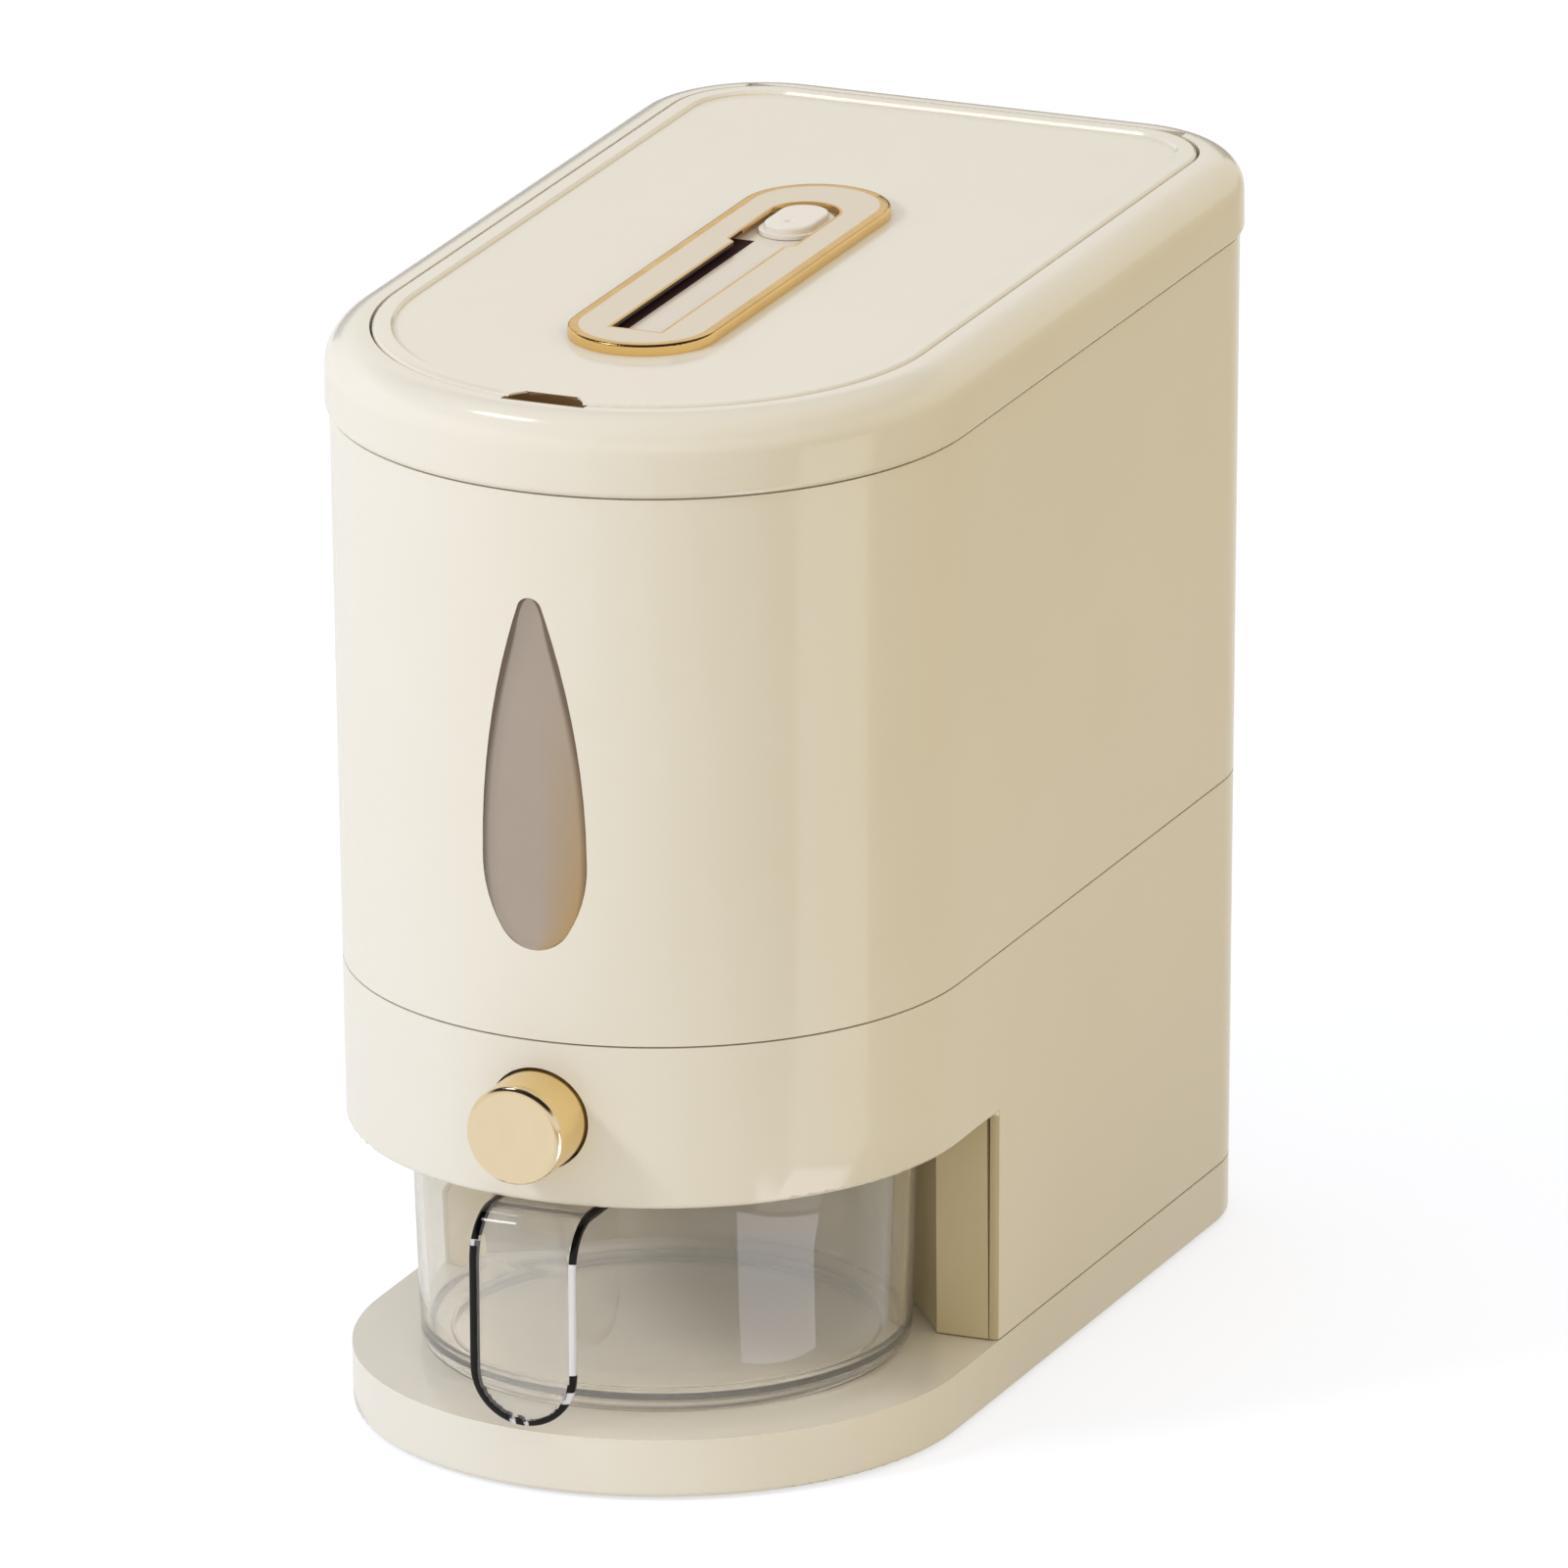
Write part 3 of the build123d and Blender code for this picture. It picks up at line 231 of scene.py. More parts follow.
def blank_material(name: str) -> bpy.types.Material:
    """Make a material with an empty node tree.

    Args:
        name: Name of the material.

    Returns:
        The new material.
    """
    made = bpy.data.materials.new(name)
    made.use_nodes = True
    made.node_tree.nodes.clear()
    return made


# ---------------------------------- finishes
@dataclass(frozen=True)
class Finish:
    """A surface finish: two tones in patches, roughness in smears and a fine relief."""

    name: str
    colour: str
    drift: str  # tone that the colour drifts to
    roughness: float
    uneven: float = 0.035  # swing of the roughness to both sides
    # grain of the tone's patches, of the roughness's smears and of the relief
    tone: Grain = (55.0, 2.0)
    smear: Grain = (14.0, 4.0)
    skin: Grain = (1.7, 2.0)
    depth_mm: float = 0.006

    def constants(self) -> dict:
        """Return the shader's constant inputs."""
        return {}

    def tint(self, tree: Tree, place: Socket) -> Socket:
        """Return the colour, which drifts between the two tones."""
        return mix(tree, patch(tree, place, self.tone), self.colour, self.drift)

    def sheen(self, tree: Tree, place: Socket) -> Socket:
        """Return the roughness, which drifts in smears."""
        low, high = max(0.0, self.roughness - self.uneven), self.roughness + self.uneven
        return remap(tree, patch(tree, place, self.smear), PATCH_LOW, PATCH_HIGH, low, high)

    def normal(self, tree: Tree, place: Socket) -> Socket:
        """Return the relief's normal."""
        return relief(tree, patch(tree, place, self.skin), self.depth_mm)

    def feeds(self, tree: Tree, place: Socket) -> dict:
        """Return what feeds the shader's inputs."""
        return {"Base Color": self.tint(tree, place), "Roughness": self.sheen(tree, place),
                "Normal": self.normal(tree, place)}

    def material(self) -> bpy.types.Material:
        """Build the finish's material.

        Returns:
            The new material.
        """
        made = blank_material(self.name)
        tree = made.node_tree
        place = add_node(tree, "ShaderNodeTexCoord").outputs["Object"]
        shader = add_node(tree, "ShaderNodeBsdfPrincipled", self.constants(),
                          self.feeds(tree, place))
        add_node(tree, "ShaderNodeOutputMaterial", links={"Surface": shader.outputs[0]})
        made.diffuse_color = linear(self.colour)
        return made


@dataclass(frozen=True, kw_only=True)
class MouldedPlastic(Finish):
    """Injection-moulded ABS: tone drifts slowly, and the skin has a fine orange peel.

    Real peel is finer than the relief here, which is as coarse as the picture can show.
    """

    ior: float = 1.53

    def constants(self) -> dict:
        """Return the plastic's constant inputs."""
        return {"IOR": self.ior}


@dataclass(frozen=True, kw_only=True)
class PaintedShadePlastic(MouldedPlastic):
    """Moulded plastic with painted shade: deeper in tone, and duller, inside boxes of its surface.
    """

    # colour of the painted shade
    shade: str
    boxes: tuple[tuple[Point, Point], ...]  # middle and reach each way, in millimetres
    dull: float = 0.8

    def inside(self, tree: Tree, place: Socket) -> Socket:
        """Return 1 inside any of the boxes and 0 outside."""
        masks = [within(tree, place, middle, reach) for middle, reach in self.boxes]
        return chain(tree, "MAXIMUM", masks)

    def tint(self, tree: Tree, place: Socket) -> Socket:
        """Return the skin's colour with painted shade laid into the boxes."""
        return mix(tree, self.inside(tree, place), super().tint(tree, place), self.shade)

    def sheen(self, tree: Tree, place: Socket) -> Socket:
        """Return the skin's roughness with dull boxes."""
        links = {0: self.inside(tree, place), 2: super().sheen(tree, place)}
        return add_node(tree, "ShaderNodeMix", {3: self.dull}, links).outputs[0]


@dataclass(frozen=True, kw_only=True)
class Metal(Finish):
    """Bare or plated metal."""

    def constants(self) -> dict:
        """Return the metal's constant inputs."""
        return {"Metallic": 1.0}


@dataclass(frozen=True, kw_only=True)
class ZincSteel(Metal):
    """Zinc-plated steel: bluish grey with a drawn grain."""

    uneven: float = 0.06
    tone: Grain = (0.8, 3.0)
    smear: Grain = (0.8, 3.0)
    skin: Grain = (0.8, 3.0)
    depth_mm: float = 0.01


@dataclass(frozen=True, kw_only=True)
class ZonedPlating(Metal):
    """Thin bright plating with a faint haze, and painted light as another tone inside a box of its
    surface.
    """

    # tone of the painted light inside the box
    painted_light_tone: str
    middle_mm: Point
    reach_mm: Point
    uneven: float = 0.03
    tone: Grain = (9.0, 3.0)
    smear: Grain = (9.0, 3.0)
    skin: Grain = (6.0, 2.0)
    depth_mm: float = 0.004

    def tint(self, tree: Tree, place: Socket) -> Socket:
        """Return the plating's colour outside the box and the painted light's tone inside it."""
        inside = within(tree, place, self.middle_mm, self.reach_mm)
        return mix(tree, inside, super().tint(tree, place), self.painted_light_tone)


@dataclass(frozen=True, kw_only=True)
class ClearPlastic(Finish):
    """Clear moulding that light passes through, with faint flow ripples in its skin."""

    transmission: float
    uneven: float = 0.01
    tone: Grain = (30.0, 2.0)
    smear: Grain = (11.0, 2.0)
    skin: Grain = (11.0, 2.0)
    depth_mm: float = 0.01
    ior: float = 1.49
    shine: float = 0.5

    def constants(self) -> dict:
        """Return the clear plastic's constant inputs."""
        return {"IOR": self.ior, "Transmission Weight": self.transmission,
                "Specular IOR Level": self.shine}


@dataclass(frozen=True, kw_only=True)
class SmokedWindow(ClearPlastic):
    """Smoked plastic with painted shade in brown along its edge, and a painted warm reflection
    towards the lower right.
    """

    # colour of the painted shade along the edge
    rim: str
    # colour of the painted warm reflection
    warm: str
    low_mm: float = 178.7
    high_mm: float = 293.2
    half_mm: float = 17.5
    # half width of the teardrop over its height, both as shares
    outline: tuple[Point2, ...] = (
        (0.0, 0.05), (0.02, 0.42), (0.06, 0.72), (0.12, 0.9), (0.2, 0.985), (0.27, 1.0),
        (0.45, 0.93), (0.6, 0.78), (0.75, 0.56), (0.88, 0.33), (0.96, 0.2), (1.0, 0.03))
    rim_from: float = 0.86  # share of the half width where the edge's painted shade begins
    rim_share: float = 0.8
    warm_from: float = 0.1  # share of the half width where the painted warm reflection begins
    warm_high: float = 0.75  # share of the height where the painted warm reflection ends
    warm_low: float = 0.1  # share of the height below which it is full

    def side(self, tree: Tree, x: Socket, rise: Socket) -> Socket:
        """Measure how far out a place lies on the teardrop.

        Args:
            tree: Tree that the nodes go into.
            x: Distance from the teardrop's middle line.
            rise: Share of its height.

        Returns:
            Share of the half width at that height, negative on the left.
        """
        curve = add_node(tree, "ShaderNodeFloatCurve", links={"Value": rise})
        line = curve.mapping.curves[0]
        for share, width in self.outline[1:-1]:
            line.points.new(share, width)
        line.points[0].location = self.outline[0]
        line.points[-1].location = self.outline[-1]
        curve.mapping.update()
        return compute(tree, "DIVIDE", compute(tree, "DIVIDE", x, self.half_mm * MM),
                       curve.outputs[0])

    def tint(self, tree: Tree, place: Socket) -> Socket:
        """Mix the smoke's colour with its painted warm reflection and its painted shade along the
        edge.

        Args:
            tree: Tree that the nodes go into.
            place: Place on the surface.

        Returns:
            The colour.
        """
        parts = split_axes(tree, place)
        rise = remap(tree, parts[2], self.low_mm * MM, self.high_mm * MM)
        side = self.side(tree, parts[0], rise)
        # shares of the painted warm reflection and of the painted edge shade
        warm = compute(tree, "MULTIPLY", remap(tree, rise, self.warm_high, self.warm_low),
                       remap(tree, side, self.warm_from, 1.0))
        rim = remap(tree, compute(tree, "ABSOLUTE", side), self.rim_from, 1.0, high=self.rim_share)
        return mix(tree, rim, mix(tree, warm, super().tint(tree, place), self.warm), self.rim)


@dataclass(frozen=True, kw_only=True)
class SoftRubber(Finish):
    """Matt elastomer with a dusty, finely pitted skin."""

    uneven: float = 0.06
    tone: Grain = (7.0, 4.0)
    smear: Grain = (7.0, 4.0)
    skin: Grain = (0.9, 2.0)
    depth_mm: float = 0.03
    ior: float = 1.45

    def constants(self) -> dict:
        """Return the rubber's constant inputs."""
        return {"IOR": self.ior}


@dataclass(frozen=True, kw_only=True)
class NonWoven(Finish):
    """Heat-pressed fibre sheet: soft white with a lattice of pressed dots."""

    sheen_weight: float = 0.3
    tone: Grain = (2.5, 4.0)
    dot_pitch_mm: float = 1.6
    dot_scatter: float = 0.25
    depth_mm: float = 0.12

    def constants(self) -> dict:
        """Return the sheet's constant inputs."""
        return {"Roughness": self.roughness, "Sheen Weight": self.sheen_weight}

    def normal(self, tree: Tree, place: Socket) -> Socket:
        """Return the normal of the pressed dots."""
        lattice = {"Scale": 1 / (self.dot_pitch_mm * MM), "Randomness": self.dot_scatter}
        dots = add_node(tree, "ShaderNodeTexVoronoi", lattice, {"Vector": place})
        return relief(tree, dots.outputs["Distance"], self.depth_mm)

    def feeds(self, tree: Tree, place: Socket) -> dict:
        """Return what feeds the shader, whose roughness is even."""
        return {"Base Color": self.tint(tree, place), "Normal": self.normal(tree, place)}


class Palette:
    """Every material of the dispenser, built once."""

    def __init__(self) -> None:
        """Build the materials."""
        gloss = {"colour": "#EEE7D6", "drift": "#EBE3D0", "roughness": 0.14, "uneven": 0.025}
        # high-gloss moulded ABS in warm ivory: even colour, soft clear reflections
        self.ivory = MouldedPlastic("moulded_ivory_abs", **gloss).material()
        # the same moulding where it has a deep finger pocket, with painted shade in brown inside
        # the pocket
        self.pocket = PaintedShadePlastic(
            "pocketed_ivory_abs", **gloss, shade="#75552A",
            boxes=(((0, ARC_Y - 84.2, 344.9), (13.9, 5.9, 7.7)),)).material()
        # the same moulding, with painted shade in the bay's deeper tone where its panels end
        # beside the bay
        self.panel = PaintedShadePlastic(
            "panelled_ivory_abs", **gloss, shade="#CDBB94",
            boxes=(((0, ARC_Y + BAY_V, 57.0), (105.0, 0.9, 38.0)),)).material()
        # the bay's walls, from the same granulate, with painted shade: a deeper, warmer ivory for
        # the shaded bay
        self.deep_ivory = MouldedPlastic("deep_ivory_abs", "#DBCAA2", "#D5C49A",
                                         roughness=0.2).material()
        # the same ABS as a thin polished cover on the gold plate, a little pinker
        self.inlay = MouldedPlastic("polished_cream_abs", "#E2D3BB", "#DECEB5",
                                    roughness=0.12).material()
        # satin ABS of the working parts: duller skin from an unpolished tool
        self.satin = MouldedPlastic("satin_ivory_abs", "#E6DFCE", "#DFD8C5", roughness=0.42,
                                    skin=(0.9, 2.0), depth_mm=0.012).material()
        # glossy white slide knob: paler than the track that it slides in
        self.white = MouldedPlastic("glossy_white_abs", "#F2EADB", "#EDE4D4",
                                    roughness=0.15).material()
        # off-white track with painted shade: dark brown along the margins that the plate's lip
        # shades
        self.track = PaintedShadePlastic(
            "two_tone_track_abs", "#E9DDCB", "#E4D8C5", roughness=0.15, shade="#3D0A06",
            boxes=(((-11.6, ARC_Y + 35.0, 352.0), (5.2, 57.0, 5.0)),
                   ((10.0, ARC_Y + 35.0, 352.0), (2.2, 57.0, 5.0)))).material()
        # satin champagne plating of the button: pale face with a soft haze, and a painted
        # reflection that makes its side yellower
        self.champagne = ZonedPlating(
            "satin_champagne_plating", "#F0E0C2", "#EEDBB8", roughness=0.16, painted_light_tone="#F8DDA0",
            middle_mm=(0, ARC_Y - 96.6, 123.6), reach_mm=(20.0, 20.0, 20.0)).material()
        # polished gold plating of the lid's plate: deeper yellow, with painted shade in dark brown
        # on the slot's walls
        self.gold = ZonedPlating(
            "polished_gold_plating", "#EFCB88", "#EBC27A", roughness=0.22, painted_light_tone="#35140F",
            middle_mm=(0, ARC_Y + 36.0, 350.0), reach_mm=(11.3, 57.0, 5.15)).material()
        # crystal-clear polystyrene: faint warm body with clean reflections
        self.clear = ClearPlastic("clear_polystyrene", "#FBF9F4", "#F9F6EF", roughness=0.02,
                                  transmission=0.92).material()
        # thick polished edge of the same polystyrene, with painted shade: near black, standing in
        # for the dark that the thick edge refracts and reflects
        self.edge = ClearPlastic("polished_polystyrene_edge", "#070605", "#0D0B0A",
                                 roughness=0.03, transmission=0.1, shine=0.2).material()
        # painted highlight on the edge on the lamp's side, where the same thickness gathers light
        self.painted_highlight_edge = ClearPlastic("lit_polystyrene_edge", "#FBFAFF", "#ECE9F2",
                                     roughness=0.05, transmission=0.35).material()
        # smoked see-through plastic, frosted on its back, with painted shade in brown along its
        # edge and a painted warm reflection towards the lower right
        self.smoked = SmokedWindow("smoked_clear_plastic", "#DACAB8", "#D2C2B0",
                                   roughness=0.09, transmission=0.5, rim="#6E5230",
                                   warm="#DDB876").material()
        # black elastomer feet: dusty and without reflections
        self.rubber = SoftRubber("matt_black_rubber", "#1E1D1C", "#2B2A29",
                                 roughness=0.62).material()
        # pale silicone seals: the same skin, a little smoother
        self.silicone = SoftRubber("pale_silicone", "#DAD7CD", "#D2CFC4",
                                   roughness=0.5).material()
        # zinc-plated screws, pins and spring wire: cool grey with a broken shine
        self.steel = ZincSteel("zinc_plated_steel", "#B9BCBD", "#A7A9A8",
                               roughness=0.33).material()
        # pressed fibre bag: chalky white with dimples
        self.fibre = NonWoven("pressed_fibre_sheet", "#EFEEE9", "#E4E2DB",
                              roughness=0.85).material()


# ---------------------------------- mesh helpers
def dress(nodes: Iterable[str], material: bpy.types.Material) -> None:
    """Give CAD nodes their material and smooth shading.

    Args:
        nodes: Names of the CAD nodes.
        material: Material that takes the place of the plain ones.
    """
    for name in nodes:
        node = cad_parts[name]
        for place in node.material_slots:
            place.material = material
        node.data.shade_smooth()
        weld = node.modifiers.new("weld", "WELD")
        weld.merge_threshold = WELD_MM * MM
        split = node.modifiers.new("split", "EDGE_SPLIT")
        split.split_angle = SPLIT_ANGLE
        LOG.info("dressed %s in %s", name, material.name)


def new_object(name: str, data: bpy.types.ID) -> bpy.types.Object:
    """Make an object and link it to the scene.

    Args:
        name: Name of the object.
        data: Its mesh, camera or lamp.

    Returns:
        The new object.
    """
    made = bpy.data.objects.new(name, data)
    bpy.context.scene.collection.objects.link(made)
    return made


def new_piece(name: str, mesh: bpy.types.Mesh, material: bpy.types.Material) -> bpy.types.Object:
    """Make an object from a mesh.

    Args:
        name: Name of the piece.
        mesh: Its mesh, in metres and in place.
        material: Its only material.

    Returns:
        The new object.
    """
    mesh.materials.clear()
    mesh.materials.append(material)
    LOG.info("built %s with %d faces", name, len(mesh.polygons))
    return new_object(name, mesh)


def mesh_from(name: str, points: list[Point], faces: list[Face]) -> bpy.types.Mesh:
    """Make a smooth, outward-facing mesh from points in millimetres.

    Args:
        name: Name of the mesh.
        points: Corner points in millimetres.
        faces: Corner numbers of each face.

    Returns:
        The mesh, in metres.
    """
    mesh = bpy.data.meshes.new(name)
    mesh.from_pydata([Vector(p) * MM for p in points], [], faces)
    shell = bmesh.new()
    shell.from_mesh(mesh)
    bmesh.ops.remove_doubles(shell, verts=shell.verts, dist=DOUBLES_MM * MM)
    bmesh.ops.recalc_face_normals(shell, faces=shell.faces)
    shell.to_mesh(mesh)
    shell.free()
    mesh.shade_smooth()
    return mesh


def pillow_faces(columns: int, rows: int, pointed: bool = False) -> list[Face]:
    """Join two like grids of points along their borders.

    Args:
        columns: Number of each grid's cells from its first line of points to its last.
        rows: Number of cells on each of those lines.
        pointed: Whether the last line is one point, so that nothing needs joining there.

    Returns:
        Corner numbers of each face.
    """
    row = rows + 1
    sheet = row * (columns + 1)
    faces: list[Face] = []
    for start in range(0, 2 * sheet, sheet):
        for i in range(columns):
            line = range(start + i * row, start + i * row + rows)
            faces += [(a, a + 1, a + row + 1, a + row) for a in line]
    borders = [range(0, sheet, row), range(rows, sheet, row), range(row)]
    if not pointed:
        borders.append(range(sheet - row, sheet))
    for line in borders:
        faces += [(a, b, b + sheet, a + sheet) for a, b in zip(line, line[1:])]
    return faces


def round_corner(centre: Point2, radius: float, start: float, end: float,
                 steps: int) -> list[Point2]:
    """Find the points of a profile's rounded corner.

    Args:
        centre: Centre of the arc.
        radius: Radius of the arc.
        start: First angle in degrees.
        end: Last angle in degrees.
        steps: Number of chords.

    Returns:
        The arc's points.
    """
    angles = [math.radians(start + (end - start) * i / steps) for i in range(steps + 1)]
    return [(centre[0] + radius * math.cos(a), centre[1] + radius * math.sin(a)) for a in angles]


def turned(name: str, profile: list[Point2], steps: int) -> bpy.types.Mesh:
    """Turn a closed profile about the upright axis of the round front.

    Args:
        name: Name of the mesh.
        profile: Radius and height of each corner, in millimetres, from axis to axis.
        steps: Number of steps round the axis.

    Returns:
        The closed mesh.
    """
    points: list[Point] = []
    faces: list[Face] = []
    rows = len(profile)
    for i in range(steps):
        angle = 2 * math.pi * i / steps
        points += [(r * math.cos(angle), ARC_Y + r * math.sin(angle), z) for r, z in profile]
        here, there = i * rows, (i + 1) % steps * rows
        faces += [(here + j, there + j, there + j + 1, here + j + 1) for j in range(rows - 1)]
    return mesh_from(name, points, faces)


# ---------------------------------- sub-assemblies
@dataclass
class Housing:
    """Base, lower and upper housing, collar and the walls of the cup bay."""

    palette: Palette

    def build(self) -> None:
        """Dress the housing's solids."""
        dress(["base_plate", "upper_housing"], self.palette.ivory)
        dress(["top_collar"], self.palette.pocket)
        dress(["lower_housing"], self.palette.panel)
        dress(["bay_wall", "bay_ceiling"], self.palette.deep_ivory)
        dress(["base_feet"], self.palette.rubber)
        dress(["base_screws", "ceiling_screws", "hinge_pins"], self.palette.steel)


@dataclass
class LevelWindow:
    """The smoked teardrop lens and the gasket behind its flange."""

    palette: Palette

    def build(self) -> None:
        """Dress the lens, which lets light through, and its gasket."""
        dress(["window_lens"], self.palette.smoked)
        dress(["window_gasket"], self.palette.silicone)
        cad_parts["window_lens"].visible_shadow = False


@dataclass
class Hopper:
    """The grain funnel with its seal."""

    palette: Palette

    def build(self) -> None:
        """Dress the funnel and its seal."""
        dress(["funnel"], self.palette.satin)
        dress(["funnel_seal"], self.palette.silicone)


@dataclass
class ButtonAndGate:
    """Push button, its sleeve and spring, and the gate that it moves."""

    palette: Palette
    coil_radius: float = 10.75
    coil_turns: float = 9.0
    coil_steps: int = 36  # chords of one turn
    coil_rear_y: float = ARC_Y - 66.1
    coil_length: float = 49.8
    coil_z: float = 123.6
    wire_radius: float = 0.7
    wire_steps: int = 12
    travel: float = 13.0

    def build(self) -> None:
        """Dress the button and gate, and wind the spring."""
        dress(["button_cap"], self.palette.champagne)
        dress(["button_sleeve", "push_stem", "gate_plate", "gate_guide"], self.palette.satin)
        dress(["stem_screws", "guide_screws"], self.palette.steel)
        self.wind_spring()

    def coil_tree(self) -> bpy.types.GeometryNodeTree:
        """Build the node tree that winds a wire coil.

        Returns:
            The tree, with its sizes as named inputs.
        """
        tree = bpy.data.node_groups.new("wound_wire_coil", "GeometryNodeTree")
        sizes = {"Coil Radius": self.coil_radius * MM, "Wire Radius": self.wire_radius * MM,
                 "Turns": self.coil_turns,
                 "Length": (self.coil_length - 2 * self.wire_radius) * MM}
        for label, value in sizes.items():
            socket = tree.interface.new_socket(label, in_out="INPUT",
                                               socket_type="NodeSocketFloat")
            socket.default_value = value
        tree.interface.new_socket("Geometry", in_out="OUTPUT",
                                  socket_type="NodeSocketGeometry")
        given = add_node(tree, "NodeGroupInput").outputs
        spiral = add_node(tree, "GeometryNodeCurveSpiral", {"Resolution": self.coil_steps},
                          {"Rotations": given["Turns"], "Start Radius": given["Coil Radius"],
                           "End Radius": given["Coil Radius"], "Height": given["Length"]})
        wire = add_node(tree, "GeometryNodeCurvePrimitiveCircle",
                        {"Resolution": self.wire_steps}, {"Radius": given["Wire Radius"]})
        tube = add_node(tree, "GeometryNodeCurveToMesh", {"Fill Caps": True},
                        {"Curve": spiral.outputs[0], "Profile Curve": wire.outputs[0]})
        smooth = add_node(tree, "GeometryNodeSetShadeSmooth", links={"Geometry": tube.outputs[0]})
        done = add_node(tree, "GeometryNodeSetMaterial", {"Material": self.palette.steel},
                        {"Geometry": smooth.outputs[0]})
        add_node(tree, "NodeGroupOutput", links={"Geometry": done.outputs[0]})
        return tree

    def wind_spring(self) -> None:
        """Wind the return spring and hang it on the housing."""
        holder = new_object("coil_source", bpy.data.meshes.new("coil_source"))
        maker = holder.modifiers.new("coil", "NODES")
        maker.node_group = self.coil_tree()
        graph = bpy.context.evaluated_depsgraph_get()
        mesh = bpy.data.meshes.new_from_object(holder.evaluated_get(graph))
        bpy.data.objects.remove(holder)
        front_y = self.coil_rear_y - self.coil_length + self.wire_radius
        mesh.transform(Matrix.Translation(Vector((0, front_y, self.coil_z)) * MM)
                       @ Matrix.Rotation(math.radians(-90), 4, "X"))
        spring = new_piece("return_spring_coil", mesh, self.palette.steel)
        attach(spring, Body.HOUSING.value)
        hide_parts("return_spring")
        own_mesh(spring)


